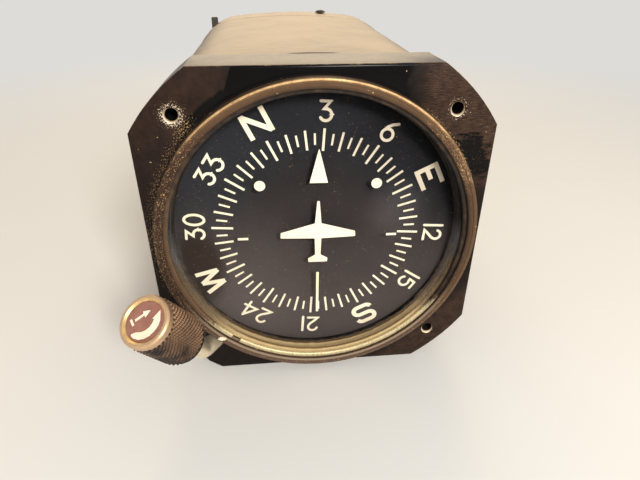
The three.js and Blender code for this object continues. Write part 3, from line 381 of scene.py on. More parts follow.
@dataclass(frozen=True)
class FrontPaint:
    """Black enamel on the front casting: browned, specked, and rubbed through to bronze on its edges."""

    name: str = "front_enamel"
    black: Colour = srgb(22, 16, 14)
    brown: Colour = srgb(52, 36, 28)
    haze: Colour = srgb(86, 65, 49)
    fresh: Colour = srgb(8, 6, 6)
    metal: Colour = srgb(214, 178, 128)
    bronze: Colour = srgb(140, 106, 72)
    chipped: Colour = srgb(246, 232, 208)
    ring_brown: Colour = srgb(64, 47, 38)
    ring_tan: Colour = srgb(132, 102, 72)
    ring_line: Colour = srgb(134, 116, 98)
    ring_band: Colour = srgb(84, 68, 58)
    side_dark: Colour = srgb(52, 40, 31)
    side_light: Colour = srgb(112, 90, 64)
    ring_radius: float = 39.3
    ring_bore: float = 37.0
    hole_offset: float = 31.43
    hole_radius: float = 1.4
    flat_half: float = 41.275
    corner_radius: float = 49.6
    chip_at: Pair = (-26.4, -28.0)

    def fresh_mask(self, s: FrontSurface) -> Value:
        """Returns where the flange's face kept its black gloss, above the ring and beside it."""
        x, z, ragged = s.x, s.z, s.mottle
        left_side = x - (z - 38.0) * 0.35
        top = left_side.fade(-19.6, -19.1) * (x + ragged * 5.0).fade(23.5, 21.5) * z.fade(30.0, 33.0)
        hug_left = (s.radius + ragged * 2.0).fade(43.2, 42.4) * (x + ragged * 4.0).fade(-30.0, -27.0)
        hug_left = hug_left * x.fade(0.0, -2.0) * z.fade(20.0, 24.0)
        streak = s.noise(0.6, 3.0, stretch=(0.35, 1.0, 1.6))
        hug_right = (s.radius + ragged * 8.0 + streak * 6.0).fade(53.5, 51.5) * x.fade(20.0, 26.0)
        hug_right = hug_right * (z + streak * 12.0).fade(31.6, 30.4) * (z + streak * 9.0).fade(18.5, 20.5)
        on_flange = s.face * s.radius.fade(self.ring_radius, self.ring_radius + 0.3)
        return top.most(hug_left).most(hug_right) * on_flange

    def chip_mask(self, s: FrontSurface) -> Value:
        """Returns where a chip is knocked out of the ring's lower left edge."""
        across = s.x - self.chip_at[0]
        along = s.z - self.chip_at[1]
        from_chip = (across * across * 0.6 + along * along * 2.0).root()
        return (from_chip * 0.6 + s.mottle * 1.5 + s.grain * 0.6).fade(1.62, 1.5) * s.y.fade(-1.5, -2.5)

    def rubbed(self, s: FrontSurface, chip: Value) -> Value:
        """Returns where handling has rubbed the enamel through, mostly on edges.

        Args:
            s: The graph.
            chip: Where the chip is.

        Returns:
            A value from 0 to 1.
        """
        foot = s.z.fade(-12.0, -34.0)
        side = s.x.fade(16.0, 34.0) * (1.0 - foot)
        land = s.y.fade(-2.3, -2.8) * s.radius.fade(self.ring_bore + 0.2, self.ring_bore + 0.7)
        land_wear = foot * 0.2 + s.crown * 0.1 + side * 0.08 + 0.04
        outer_edge = abs(s.radius - (self.ring_radius - 0.25)).fade(0.5, 0.15) * s.y.fade(-2.4, -3.0)
        edge_wear = 0.3 - foot * 0.1 + s.crown * 0.42
        wall_wear = foot * 0.2 + s.crown * 0.4
        flat_rim = abs(s.x).most(abs(s.z)).fade(self.flat_half - 0.45, self.flat_half)
        round_rim = s.radius.fade(self.corner_radius - 0.5, self.corner_radius)
        rim = flat_rim.most(round_rim) * s.y.fade(1.0, 0.2)
        holes: Number = 0.0
        for distance, to_worn_side in s.holes:
            hole_rim = (distance - to_worn_side * 0.1).fade(self.hole_radius + 0.38, self.hole_radius + 0.2)
            holes = hole_rim * s.y.fade(0.9, 0.4) + holes
        edges = (land * land_wear).most(outer_edge * edge_wear).most(rim * 0.46)
        edges = edges.most(holes * 0.62).most(s.wall * wall_wear)
        return (edges + chip + s.mottle * 0.42 + s.grain * 0.3 + s.cloud * 0.12).fade(0.8, 1.0)

    def flecks(self, s: FrontSurface) -> Value:
        """Returns the small flecks of bare metal, thickest by the ring and the upper left hole."""
        near_ring = s.radius.fade(43.2, 40.4) * s.x.fade(-16.0, -30.0) * s.z.span(-34.0, -20.0, 26.0, 36.0)
        near_hole = s.from_upper_left_hole.fade(6.0, 2.4)
        hole_edge = s.from_hole.fade(3.2, 2.0)
        right_edge = s.radius.fade(40.6, 39.8) * s.upper_right
        ring_low = s.on_ring * (s.z - s.x * 0.4).fade(-14.0, -26.0)
        beside = s.z.span(13.0, 16.0, 25.0, 28.0) * s.x.fade(30.0, 33.0)
        specks = s.noise(4.2, 3.0, 0.65, stretch=(1.0, 1.0, 0.6))
        flecks = (specks + near_ring * 0.14 + near_hole * 0.12 + right_edge * 0.1 + s.upper_right * 0.05
                  + hole_edge * 0.08 + beside * 0.03 + ring_low * 0.1).fade(0.72, 0.77)
        dots = s.noise(1.3, 1.0, 0.3).fade(0.79, 0.81)
        return (flecks * s.face).most(dots * s.face)

    def enamel(self, s: FrontSurface, fresh: Value) -> Value:
        """Returns the colour of the enamel where it is whole.

        Args:
            s: The graph.
            fresh: Where it kept its black gloss.

        Returns:
            The colour.
        """
        upper_left = s.x.fade(-10.0, -24.0) * s.z.fade(4.0, 30.0)
        streaks = (s.lines - 0.5) * s.upper_right
        browned = (s.mottle * 0.5 + s.cloud * 0.35 + upper_left * 0.24 + s.upper_right * 0.34
                   + s.low_right * 0.26 + streaks * 1.2).fade(0.42, 0.9)
        colour = s.mix(browned, self.black, self.brown)
        colour = s.mix(self.hazy(s), colour, self.haze)
        colour = s.mix(fresh, colour, self.fresh)
        tan = (s.crown * 0.85 + s.x.fade(20.0, 34.0) * 0.5 + s.z.fade(-14.0, -34.0) * 0.6).least(1.0)
        tan = s.on_ring * tan * (0.4 + s.mottle * 0.6) * s.radius.fade(self.ring_bore - 0.6, self.ring_radius)
        colour = s.mix(s.on_ring * (0.35 + s.mottle * 0.5), colour, self.ring_brown)
        colour = s.mix(tan, colour, self.ring_tan)
        low_land = s.on_ring * s.z.fade(-12.0, -30.0)
        line = low_land * abs(s.radius - (self.ring_radius - 1.8)).fade(0.45, 0.2)
        band = low_land * abs(s.radius - (self.ring_radius - 0.7)).fade(0.7, 0.3) * 0.8
        return s.mix(band, s.mix(line, colour, self.ring_line), self.ring_band)

    @staticmethod
    def hazy(s: FrontSurface) -> Value:
        """Returns where the enamel has gone dull and pale."""
        return (s.upper_right * 0.3 + s.low_right * 0.3 + s.grain * 0.5 + s.mottle * 0.35
                + (s.lines - 0.5) * s.upper_right).fade(0.62, 1.15)

    def side_colour(self, s: FrontSurface, colour: Value) -> Value:
        """Returns the colour of the flange's sides, scuffed and worn towards their rear edge.

        Args:
            s: The graph.
            colour: The face's colour, of which a little shows here too.

        Returns:
            The colour.
        """
        scuffs = (s.mottle * 0.7 + (s.lines - 0.5) * 0.9 + s.cloud * 0.5 + s.rear_edge * 0.3).fade(0.5, 1.05)
        bare = (s.grain * 0.6 + s.mottle * 0.5 + s.rear_edge * 0.5).fade(0.86, 1.0)
        side = s.mix(bare, s.mix(scuffs, self.side_dark, self.side_light), self.bronze)
        return s.mix(0.8, colour, side)

    def material(self) -> Material:
        """Builds the material: a dull face with a glossier side."""
        s = FrontSurface(self)
        fresh = self.fresh_mask(s)
        chip = self.chip_mask(s)
        bare = self.rubbed(s, chip).most(self.flecks(s))
        at_hole = s.from_hole.fade(3.2, 2.0) * s.face * 0.7
        worn = s.mix((s.grain + s.mottle * 0.8).fade(0.6, 1.2), self.bronze, self.metal)
        worn = s.mix(chip.most(at_hole), worn, self.chipped)
        colour = s.mix(bare * 0.94, self.enamel(s, fresh), worn)
        bore = s.from_hole.fade(self.hole_radius + 0.6, self.hole_radius + 0.4)
        colour = s.mix(bore * s.y.fade(0.5, 0.9), colour, self.fresh)
        roughness = (0.4 + s.grain * 0.16 + self.hazy(s) * 0.14) * (1.0 - fresh * 0.55)
        texture = (s.grain * 0.25 + s.mottle * 0.6 + s.lines * 0.25) * (1.0 - fresh * 0.9)
        relief = s.bump(texture - bare * 0.4, 0.3, 0.05)
        dulled = s.principled({"Base Color": colour, "Metallic": bare * 0.5, "Roughness": roughness,
                               "Normal": relief, "Specular IOR Level": 0.1})
        sides = s.principled({"Base Color": self.side_colour(s, colour), "Metallic": bare * 0.6 + 0.1,
                              "Roughness": roughness * 0.9, "Normal": relief, "Specular IOR Level": 0.6})
        side_share = (s.y.fade(0.25, 0.7) * (1.0 - bore)).most(s.wall * s.crown)
        return s.finish(s.layered(side_share, dulled, sides))


@dataclass(frozen=True)
class CaseFinish:
    """Satin brown enamel on drawn sheet, with drawing lines, scuffs and a short dark painted shadow across
    its top, just behind the flange.
    """

    name: str = "case_enamel"
    deep: Colour = srgb(66, 51, 36)
    light: Colour = srgb(126, 103, 74)
    scuff: Colour = srgb(186, 160, 122)
    junction_shadow: Colour = srgb(24, 18, 14)
    roughness: float = 0.34

    def material(self) -> Material:
        """Builds the material."""
        s = Surface(self.name)
        cloud = s.noise(0.035, 4.0, 0.55)
        mottle = s.noise(0.3, 5.0)
        grain = s.noise(4.0, 3.0)
        drawn = s.noise(1.1, stretch=(0.07, 1.2, 0.07))
        scratch = s.noise(0.6, 2.0, 0.4, stretch=(0.35, 3.2, 0.35))
        colour = s.mix((cloud * 0.6 + mottle * 0.5 + drawn * 0.3).fade(0.45, 0.85), self.deep, self.light)
        colour = s.mix((drawn * 0.7 + grain * 0.4).fade(0.55, 0.85) * 0.35, colour, self.scuff)
        bell_step = s.y.span(102.8, 104.2, 104.6, 105.8)
        rear_end = s.y.fade(116.0, 118.8)
        worn = ((bell_step * 0.24).most(rear_end * 0.3) + scratch * 0.5 + grain * 0.3).fade(0.66, 0.8)
        colour = s.mix(worn * 0.8, colour, self.scuff)
        # Painted shadow: a short dark line across the top, just behind the flange, stands for the shade where
        # the case meets the flange. It is also rougher and less metallic there.
        junction_shadow = (s.y + mottle * 1.6).span(15.9, 16.5, 17.5, 18.2)
        junction_shadow = junction_shadow * s.x.span(-6.5, -3.5, 3.5, 7.5) * s.z.fade(30.0, 36.0)
        colour = s.mix(junction_shadow * 0.9, colour, self.junction_shadow)
        roughness = self.roughness + mottle * 0.14 + grain * 0.08 - worn * 0.08 + (drawn - 0.5) * 0.2
        return s.finish(s.principled({
            "Base Color": colour, "Metallic": (worn * 0.6 + 0.18) * (1.0 - junction_shadow * 0.9),
            "Roughness": roughness + junction_shadow * 0.4, "IOR": 1.5,
            "Normal": s.bump(grain * 0.3 + drawn * 0.9 + mottle * 0.8, 0.4, 0.09),
        }))


@dataclass(frozen=True)
class Metal:
    """Machined metal with tool lines, tarnish and a little soil."""

    name: str
    bright: Colour
    tarnish: Colour
    roughness: float = 0.28
    age: float = 0.4
    lines: Triple = (1.0, 1.0, 1.0)

    def material(self) -> Material:
        """Builds the material."""
        s = Surface(self.name)
        cloud = s.noise(0.18)
        grain = s.noise(3.2, stretch=self.lines)
        fine = s.noise(9.0, 2.0, 0.5)
        soiled = (cloud * 0.75 + grain * 0.45 + self.age * 0.4).fade(0.55, 0.95)
        return s.finish(s.principled({
            "Base Color": s.mix(soiled, self.bright, self.tarnish), "Metallic": 1.0 - soiled * 0.25,
            "Roughness": self.roughness + soiled * 0.22 + grain * 0.1,
            "Normal": s.bump(grain * 0.7 + fine * 0.3, 0.18, 0.04),
        }))


@dataclass(frozen=True)
class SnapWire:
    """The snap ring's wire: blackened brass, with a bright painted highlight at the dial's foot, where it is
    also a little glossier and more metallic.
    """

    name: str = "snap_ring_wire"
    bright: Colour = srgb(214, 198, 156)
    brown: Colour = srgb(96, 74, 54)
    black: Colour = srgb(27, 20, 17)
    streaked: Colour = srgb(146, 118, 76)
    radius: float = 36.9

    def material(self) -> Material:
        """Builds the material."""
        s = Surface(self.name)
        mottle = s.noise(0.5)
        grain = s.noise(3.6, 3.0)
        streaks = s.noise(2.2, 3.0, 0.65, stretch=(1.6, 1.0, 0.25))
        foot = (s.z - abs(s.x + 3.0) * 0.35).fade(-26.0, -38.0)
        left = s.x.fade(-6.0, -30.0) * s.z.fade(30.0, -10.0)
        outer_side = s.radius.fade(self.radius - 0.4, self.radius + 0.2)
        colour = s.mix((mottle * 0.9 + left * 0.5).fade(0.3, 1.0), self.black, self.brown)
        # Painted highlight: the wire turns bright at the dial's foot, standing for the light that it catches
        # there.
        polish_and_highlight = (foot * 0.9 + outer_side * foot * 0.2 + mottle * 0.3
                  + (streaks - 0.5) * 0.9 + grain * 0.2).fade(0.55, 1.0)
        colour = s.mix(polish_and_highlight, colour, self.bright)
        colour = s.mix(streaks.fade(0.5, 0.66) * foot * 0.6, colour, self.streaked)
        return s.finish(s.principled({
            "Base Color": colour, "Metallic": 0.2 + foot * 0.15 + polish_and_highlight * 0.15,
            "Roughness": 0.5 - polish_and_highlight * 0.04 + grain * 0.1, "Specular IOR Level": 0.3,
            "Normal": s.bump(streaks * 0.8 + mottle * 0.4, 0.4, 0.05),
        }))


@dataclass(frozen=True)
class Matt:
    """A dull, dark or coloured surface without metal, such as rubber, enamel or anodising."""

    name: str
    base: Colour
    second: Colour
    roughness: float = 0.7
    sheen: float = 0.0
    grain_scale: float = 6.0
    depth: float = 0.25
    gleam: float = 0.5

    def material(self) -> Material:
        """Builds the material."""
        s = Surface(self.name)
        cloud = s.noise(0.09, rough=0.55)
        mottle = s.noise(0.8)
        grain = s.noise(self.grain_scale, 3.0)
        shade = (cloud * 0.7 + mottle * 0.3 + grain * 0.15).fade(0.4, 0.8)
        return s.finish(s.principled({
            "Base Color": s.mix(shade, self.base, self.second),
            "Roughness": self.roughness + grain * 0.12 - mottle * 0.06,
            "Normal": s.bump(grain, self.depth, 0.03), "Sheen Weight": self.sheen,
            "Specular IOR Level": self.gleam,
        }))


@dataclass(frozen=True)
class CardPaint:
    """The compass card's flat black paint, dusty, and paler at its foot than at its upper right: a painted
    reflection that grows towards the foot, with dust, and painted shade, the ring's shadow, that keeps the
    upper right black.
    """

    name: str = "card_black"
    black: Colour = srgb(13, 12, 15)
    cool: Colour = srgb(100, 103, 112)
    warm: Colour = srgb(111, 101, 99)
    dust: Colour = srgb(190, 152, 112)
    amber: Colour = srgb(46, 33, 19)

    def material(self) -> Material:
        """Builds the material."""
        s = Surface(self.name)
        x, z = s.x, s.z
        cloud = s.noise(0.09, rough=0.55)
        mottle = s.noise(0.8)
        pale_patch = reach(x - 21.0, z - 4.0).fade(11.0, 2.0)
        amber_patch = reach(x + 31.0, (z + 10.0) * 0.6).fade(9.0, 4.0)
        # Paleness by place: a painted reflection that grows towards the foot and the lower left, with dust,
        # and painted shade that keeps the upper right black where the ring's shadow falls.
        dust_and_painted_light_places = [
            (z.fade(34.0, -8.0) * x.fade(34.0, 12.0).most(z.fade(10.0, -6.0)), 0.17),
            (x.fade(4.0, -28.0) * z.fade(14.0, -16.0) * (1.0 - amber_patch), 0.26),
            (x.fade(-4.0, -28.0) * z.fade(2.0, 20.0), 0.045),
            (x.fade(18.0, 2.0) * z.fade(8.0, 28.0), 0.07),
            (z.fade(30.0, 4.0), 0.025),
            (z.fade(6.0, -36.0), 0.25),
            (z.fade(-10.0, -28.0), 0.03),
            (pale_patch, 0.19),
            (cloud.fade(0.4, 0.8), 0.03),
            (mottle, 0.02),
        ]
        dust_and_painted_light = sum(place * share for place, share in dust_and_painted_light_places)
        outer_top = s.radius.fade(12.0, 25.0) * z.fade(-8.0, 20.0)
        colour = s.mix(dust_and_painted_light, self.black, s.mix(outer_top, self.warm, self.cool))
        colour = s.mix(amber_patch * 0.5, colour, self.amber)
        specks = s.noise(2.6, 2.0).fade(0.7, 0.73) * cloud.fade(0.35, 0.6)
        colour = s.mix(specks * 0.6, colour, self.dust)
        return s.finish(s.principled({"Base Color": colour, "Roughness": 0.75 + cloud * 0.1 - mottle * 0.06,
                                      "Specular IOR Level": 0.08}))


@dataclass(frozen=True)
class MarkPaint:
    """Cream marking paint, a little uneven and yellowed, and darker at the dial's upper right with painted
    shade that stands for the ring's shadow there.
    """

    name: str = "mark_paint"
    cream: Colour = srgb(248, 236, 212)
    aged: Colour = srgb(230, 208, 172)
    painted_shade: Colour = srgb(196, 184, 166)

    def material(self) -> Material:
        """Builds the material."""
        s = Surface(self.name)
        cloud = s.noise(0.12)
        grain = s.noise(4.5)
        colour = s.mix((cloud * 0.7 + grain * 0.5).fade(0.5, 0.95), self.cream, self.aged)
        # Painted shade: marks at the dial's upper right turn towards a greyer cream, standing for the shadow
        # that the ring casts there.
        upper_right = (s.x * 0.75 + s.z + cloud * 8.0).fade(22.0, 36.0)
        colour = s.mix(upper_right * 0.9, colour, self.painted_shade)
        return s.finish(s.principled({"Base Color": colour, "Roughness": 0.62 + grain * 0.2,
                                      "Normal": s.bump(grain, 0.2, 0.02), "Specular IOR Level": 0.3}))


@dataclass(frozen=True)
class DialGlass:
    """Flat clear glass that gleams at a slant, with dust gathered at its lower rim, a bright painted
    highlight along its rim at the dial's foot and a dark line just inside that.

    Seen square on it has no gloss at all, since a faint gloss over the black card renders as noise.
    """

    name: str = "dial_glass"
    clear: Colour = (0.99, 0.99, 0.985, 1.0)
    pale_dust: Colour = srgb(240, 236, 242)
    rim_dust: Colour = srgb(160, 134, 104)
    lip_highlight_colour: Colour = srgb(204, 180, 134)
    rim_line_colour: Colour = srgb(92, 68, 36)
    ior: float = 1.5
    square_on: float = 0.05
    gain: float = 0.3
    rim: float = 36.9

    def material(self) -> Material:
        """Builds the material."""
        s = Surface(self.name)
        smear = s.noise(0.11)
        ragged = s.noise(0.6, rough=0.65)
        speck = s.noise(2.4, 3.0, 0.7).fade(0.7, 0.75)
        ragged_radius = s.radius + (ragged - 0.5) * 2.4
        edge = ragged_radius.fade(self.rim - 3.0, self.rim - 1.3) * s.z.fade(6.0, -36.0) * 1.1
        foot = (s.z - abs(s.x + 3.0) * 0.3).fade(-27.0, -35.0)
        # Painted highlight: a bright band along the rim at the dial's foot stands for the light that the ring
        # catches there. A dark line is painted just inside it.
        lip = (s.radius + (ragged - 0.5) * 0.5).fade(self.rim - 1.75, self.rim - 1.45) * foot
        line = abs(s.radius - (self.rim - 2.05)).fade(0.42, 0.12) * foot
        # The film mixed over the glass is dust, and at the foot also the painted highlight and the dark line.
        soiled = (edge * (0.2 + ragged * 0.5) + speck * 0.07).least(0.7)
        soiled = soiled.most(lip * (0.7 + ragged * 0.25)).most(line * 0.75)
        dust_and_highlight_colour = s.mix((edge * 4.0).least(1.0), self.pale_dust, self.rim_dust)
        dust_and_highlight_colour = s.mix(line, s.mix(lip, dust_and_highlight_colour, self.lip_highlight_colour), self.rim_line_colour)
        dust = s.principled({"Base Color": dust_and_highlight_colour, "Roughness": 0.5 + smear * 0.2,
                             "Specular IOR Level": 0.2})
        through = s.node("ShaderNodeBsdfTransparent", None, {"Color": self.clear}).outputs[0]
        gloss = s.node("ShaderNodeBsdfGlossy", None, {"Color": (1.0, 1.0, 1.0, 1.0), "Roughness": 0.015})
        slant = s.value("ShaderNodeFresnel", None, {"IOR": self.ior}) - self.square_on
        gleam = (slant * self.gain).most(0.0) * s.y.fade(0.3, -0.7)
        s.material.surface_render_method = "BLENDED"
        return s.finish(s.layered(soiled, s.layered(gleam, through, gloss.outputs[0]), dust))


@dataclass(frozen=True)
class KnobMetal:
    """The knob's darkened metal: browned in the knurl's valleys and worn bright on its points, with painted
    light that makes its upper side lighter and its lower left darker.
    """

    name: str
    axis: Triple
    centre: Triple
    valley_radius: float
    point_radius: float
    taper: float
    face_from: float
    insert_edge: float
    dark: Colour = srgb(16, 12, 11)
    flank: Colour = srgb(50, 38, 32)
    worn: Colour = srgb(158, 122, 92)
    rim: Colour = srgb(206, 172, 136)
    bright_band: Colour = srgb(232, 196, 130)
    chipped: Colour = srgb(120, 84, 56)
    soil: Colour = srgb(46, 36, 30)

    def material(self) -> Material:
        """Builds the material."""
        s = Surface(self.name)
        out = s.vector("SUBTRACT", s.place, self.centre)
        height = s.vector("DOT_PRODUCT", out, self.axis, out="Value")
        whole = s.vector("DOT_PRODUCT", out, out, out="Value")
        from_axis = (whole - height * height).most(0.0).root()
        radius = from_axis + (height - self.face_from) * self.taper
        cloud = s.noise(0.25)
        grain = s.noise(5.0)
        middle = (self.valley_radius + self.point_radius) / 2
        flanks = radius.fade(self.valley_radius, middle + 0.06)
        points = radius.fade(middle + 0.08, self.point_radius + 0.04)
        rim = height.fade(self.face_from - 0.4, self.face_from + 0.1)
        chips = (cloud * 0.6 + grain * 0.6).fade(0.5, 0.75)
        band = from_axis.fade(self.insert_edge + 0.75, self.insert_edge + 0.5) * rim
        near_face = height.fade(self.face_from - 9.0, self.face_from)
        east, _, up = s.split(out)
        # Painted light: the upper side counts as lit, so its flanks are painted lighter and more of its
        # points bright there, and the lower left stays dark.
        lean = up - height * self.axis[2] + (east - height * self.axis[0]) * 0.5
        upper = lean.fade(-2.5, 6.5)
        rubbed = cloud.fade(0.25, 0.75) * 0.5 + near_face * 0.15 + upper * 0.6 - 0.22
        wear_and_light = points * rubbed.most(0.0).least(1.0)
        colour = s.mix(flanks * (0.3 + upper * 0.7), self.dark, self.flank)
        colour = s.mix(wear_and_light, colour, self.worn)
        colour = s.mix(rim * (0.55 + cloud * 0.9).least(1.0), colour, self.rim)
        colour = s.mix(band * (1.0 - chips * 0.7), colour, self.bright_band)
        colour = s.mix(rim * chips * 0.3, colour, self.chipped)
        soil = grain.fade(0.55, 0.8) * (0.4 + (1.0 - points) * 0.4)
        colour = s.mix(soil * 0.5, colour, self.soil)
        return s.finish(s.principled({
            "Base Color": colour, "Metallic": points * 0.45 * wear_and_light + rim * 0.5,
            "Roughness": 0.46 + soil * 0.2 - rim * 0.12 + grain * 0.1,
            "Normal": s.bump(grain, 0.25, 0.04), "Specular IOR Level": 0.25,
        }))


# Shapes


@dataclass
class Shell:
    """A closed body of points and faces in its own axes, in millimetres."""

    points: list[Triple]
    faces: list[tuple[int, ...]]

    def turned(self, matrix: Matrix) -> "Shell":
        """Returns a copy taken through a matrix."""
        return Shell([tuple(matrix @ Vector(p)) for p in self.points], self.faces)


def filleted(corners: Sequence[Triple], steps: int = 4, closed: bool = True) -> list[Pair]:
    """Rounds the corners of a flat line.

    Args:
        corners: Points with the radius of each corner.
        steps: Facets of a rounded corner.
        closed: Whether the line runs back to its start.

    Returns:
        The rounded line's points.
    """
    out: list[Pair] = []
    count = len(corners)
    for i, (x, y, radius) in enumerate(corners):
        here = Vector((x, y))
        if radius <= 0 or (not closed and i in (0, count - 1)):
            out.append((x, y))
            continue
        before = Vector(corners[(i - 1) % count][:2]) - here
        after = Vector(corners[(i + 1) % count][:2]) - here
        turn = before.angle(after) / 2
        reach = min(radius / math.tan(turn), before.length * 0.49, after.length * 0.49)
        start = here + before.normalized() * reach
        end = here + after.normalized() * reach
        for k in range(steps + 1):
            t = k / steps
            point = start * (1 - t) ** 2 + here * (2 * t * (1 - t)) + end * t * t
            out.append((point.x, point.y))
    return out


def lathe(profile: Sequence[Pair], segments: int, start: float = 0.0, sweep: float = math.tau) -> Shell:
    """Turns a profile of (radius, height) about the third axis.

    Args:
        profile: From axis to axis, or a closed loop clear of the axis.
        segments: Facets round the sweep.
        start: Angle where it starts.
        sweep: Angle that it covers.

    Returns:
        The closed body.
    """
    full = sweep >= math.tau - 1e-9
    count = segments if full else segments + 1
    points: list[Triple] = []
    rings: list[list[int]] = []
    for r, h in profile:
        if r < 1e-9:
            rings.append([len(points)] * count)
            points.append((0.0, 0.0, h))
            continue
        rings.append(list(range(len(points), len(points) + count)))
        for i in range(count):
            a = start + sweep * i / segments
            points.append((r * math.cos(a), r * math.sin(a), h))
    loop = profile[0][0] > 1e-9
    faces: list[tuple[int, ...]] = []
    for low, high in zip(rings, rings[1:] + ([rings[0]] if loop else [])):
        for i in range(segments):
            j = (i + 1) % count
            face = tuple(dict.fromkeys((low[i], low[j], high[j], high[i])))
            if len(face) > 2:
                faces.append(face)
    if not full:
        faces.append(tuple(r[0] for r in rings))
        faces.append(tuple(r[-1] for r in reversed(rings)))
    return Shell(points, faces)


def skin(loops: Sequence[Sequence[Triple]], ring: bool = True) -> Shell:
    """Joins loops of equal length.

    Args:
        loops: The loops, in order.
        ring: Whether the last loop joins the first. Otherwise both ends are closed flat.

    Returns:
        The closed body.
    """
    count = len(loops[0])
    points = [p for loop in loops for p in loop]
    faces: list[tuple[int, ...]] = []
    for i in range(len(loops) if ring else len(loops) - 1):
        low = i * count
        high = (i + 1) % len(loops) * count
        for k in range(count):
            j = (k + 1) % count
            faces.append((low + k, low + j, high + j, high + k))
    if not ring:
        faces.append(tuple(range(count)))
        faces.append(tuple(range(len(points) - count, len(points))))
    return Shell(points, faces)


def plate(outline: Sequence[Pair], low: float, high: float, holes: Sequence[Sequence[Pair]] = ()) -> Shell:
    """Gives a flat outline a thickness.

    Args:
        outline: The outer loop.
        low: Height of one face.
        high: Height of the other.
        holes: Inner loops.

    Returns:
        The closed body.
    """
    return stepped_plate([(outline, low), (outline, high)], [[(hole, low), (hole, high)] for hole in holes])


def stepped_plate(outer: Sequence[tuple[Sequence[Pair], float]],
                  holes: Sequence[Sequence[tuple[Sequence[Pair], float]]]) -> Shell:
    """Builds a plate whose outside and holes each run through several loops.

    Args:
        outer: Loops and heights of the outside, from the low face to the high one.
        holes: The same for each hole.

    Returns:
        The closed body, with both faces flat.
    """
    points: list[Triple] = []
    faces: list[tuple[int, ...]] = []
    lows: list[list[int]] = []
    highs: list[list[int]] = []
    for wall in [outer, *holes]:
        before: list[int] = []
        for loop, height in wall:
            here = list(range(len(points), len(points) + len(loop)))
            points += [(x, y, height) for x, y in loop]
            if before:
                for k in range(len(here)):
                    j = (k + 1) % len(here)
                    faces.append((before[k], before[j], here[j], here[k]))
            else:
                lows.append(here)
            before = here
        highs.append(before)
    for rims in (lows, highs):
        order = [i for rim in rims for i in rim]
        flat = [[Vector((points[i][0], points[i][1], 0.0)) for i in rim] for rim in rims]
        faces += [(order[a], order[b], order[c]) for a, b, c in tessellate_polygon(flat)]
    return Shell(points, faces)


def circle(radius: float, count: int, at: Pair = (0.0, 0.0)) -> list[Pair]:
    """Returns the points of a circle."""
    return [(at[0] + radius * math.cos(math.tau * i / count), at[1] + radius * math.sin(math.tau * i / count))
            for i in range(count)]


def oblong(low: Pair, high: Pair) -> list[Pair]:
    """Returns the outline of an upright oblong between two corners."""
    return [low, (high[0], low[1]), high, (low[0], high[1])]


def bar(centres: Sequence[Vector], radii: Sequence[float], across: Vector, sides: int) -> list[list[Triple]]:
    """Places round sections along a flat line.

    Args:
        centres: The line.
        radii: The radius at each point.
        across: The normal of the plane that the line lies in.
        sides: Points of a section.

    Returns:
        The sections as loops.
    """
    loops = []
    for i, centre in enumerate(centres):
        ahead = centres[min(i + 1, len(centres) - 1)] - centres[max(i - 1, 0)]
        side = ahead.normalized().cross(across).normalized()
        loop = []
        for k in range(sides):
            a = math.tau * k / sides
            point = centre + across * (radii[i] * math.cos(a)) + side * (radii[i] * math.sin(a))
            loop.append(tuple(point))
        loops.append(loop)
    return loops


class End(Enum):
    """How a painted stroke ends."""

    SQUARE = "square"
    ROUND = "round"


def stroke(line: Sequence[Pair], width: float, low: float, high: float, end: End = End.ROUND) -> Shell:
    """Makes one painted stroke along a line.

    Args:
        line: The stroke's centre line.
        width: Its width.
        low: Height of its under side.
        high: Height of its face.
        end: Shape of its ends.

    Returns:
        The closed body.
    """
    points = [Vector(p) for p in line]
    half = width / 2
    left: list[Vector] = []
    right: list[Vector] = []
    for i, p in enumerate(points):
        before = (p - points[i - 1]).normalized() if i else None
        after = (points[i + 1] - p).normalized() if i + 1 < len(points) else None
        ahead = ((before or after) + (after or before)).normalized()
        normal = Vector((-ahead.y, ahead.x))
        lean = max(0.5, normal.dot(Vector((-(after or before).y, (after or before).x))))
        left.append(p + normal * (half / lean))
        right.append(p - normal * (half / lean))
    loop = list(left)
    if end is End.ROUND:
        loop += _cap(points[-1], (points[-1] - points[-2]).normalized(), half)
    loop += reversed(right)
    if end is End.ROUND:
        loop += _cap(points[0], (points[0] - points[1]).normalized(), half)
    return plate([(p.x, p.y) for p in loop], low, high)


def _cap(at: Vector, ahead: Vector, half: float, steps: int = 6) -> list[Vector]:
    """Returns the inner points of a stroke's round end, from its left side to its right."""
    side = Vector((-ahead.y, ahead.x))
    return [at + side * (half * math.cos(math.pi * k / steps))
            + ahead * (half * math.sin(math.pi * k / steps))
            for k in range(1, steps)]


def arc(centre: Pair, across: float, high: float, start: float, sweep: float, steps: int = 14) -> list[Pair]:
    """Returns points of an elliptic arc, with its angles in degrees."""
    return [(centre[0] + across * math.cos(math.radians(start + sweep * k / steps)),
             centre[1] + high * math.sin(math.radians(start + sweep * k / steps))) for k in range(steps + 1)]


# Pieces

MERGE_IN_ROW = 1e-8
MERGE_IN_MILLIMETRES = 1e-5


def placed(name: str, data: Optional[bpy.types.ID]) -> Object:
    """Makes an object of that name and data, and links it to the scene."""
    made = bpy.data.objects.new(name, data)
    bpy.context.scene.collection.objects.link(made)
    return made


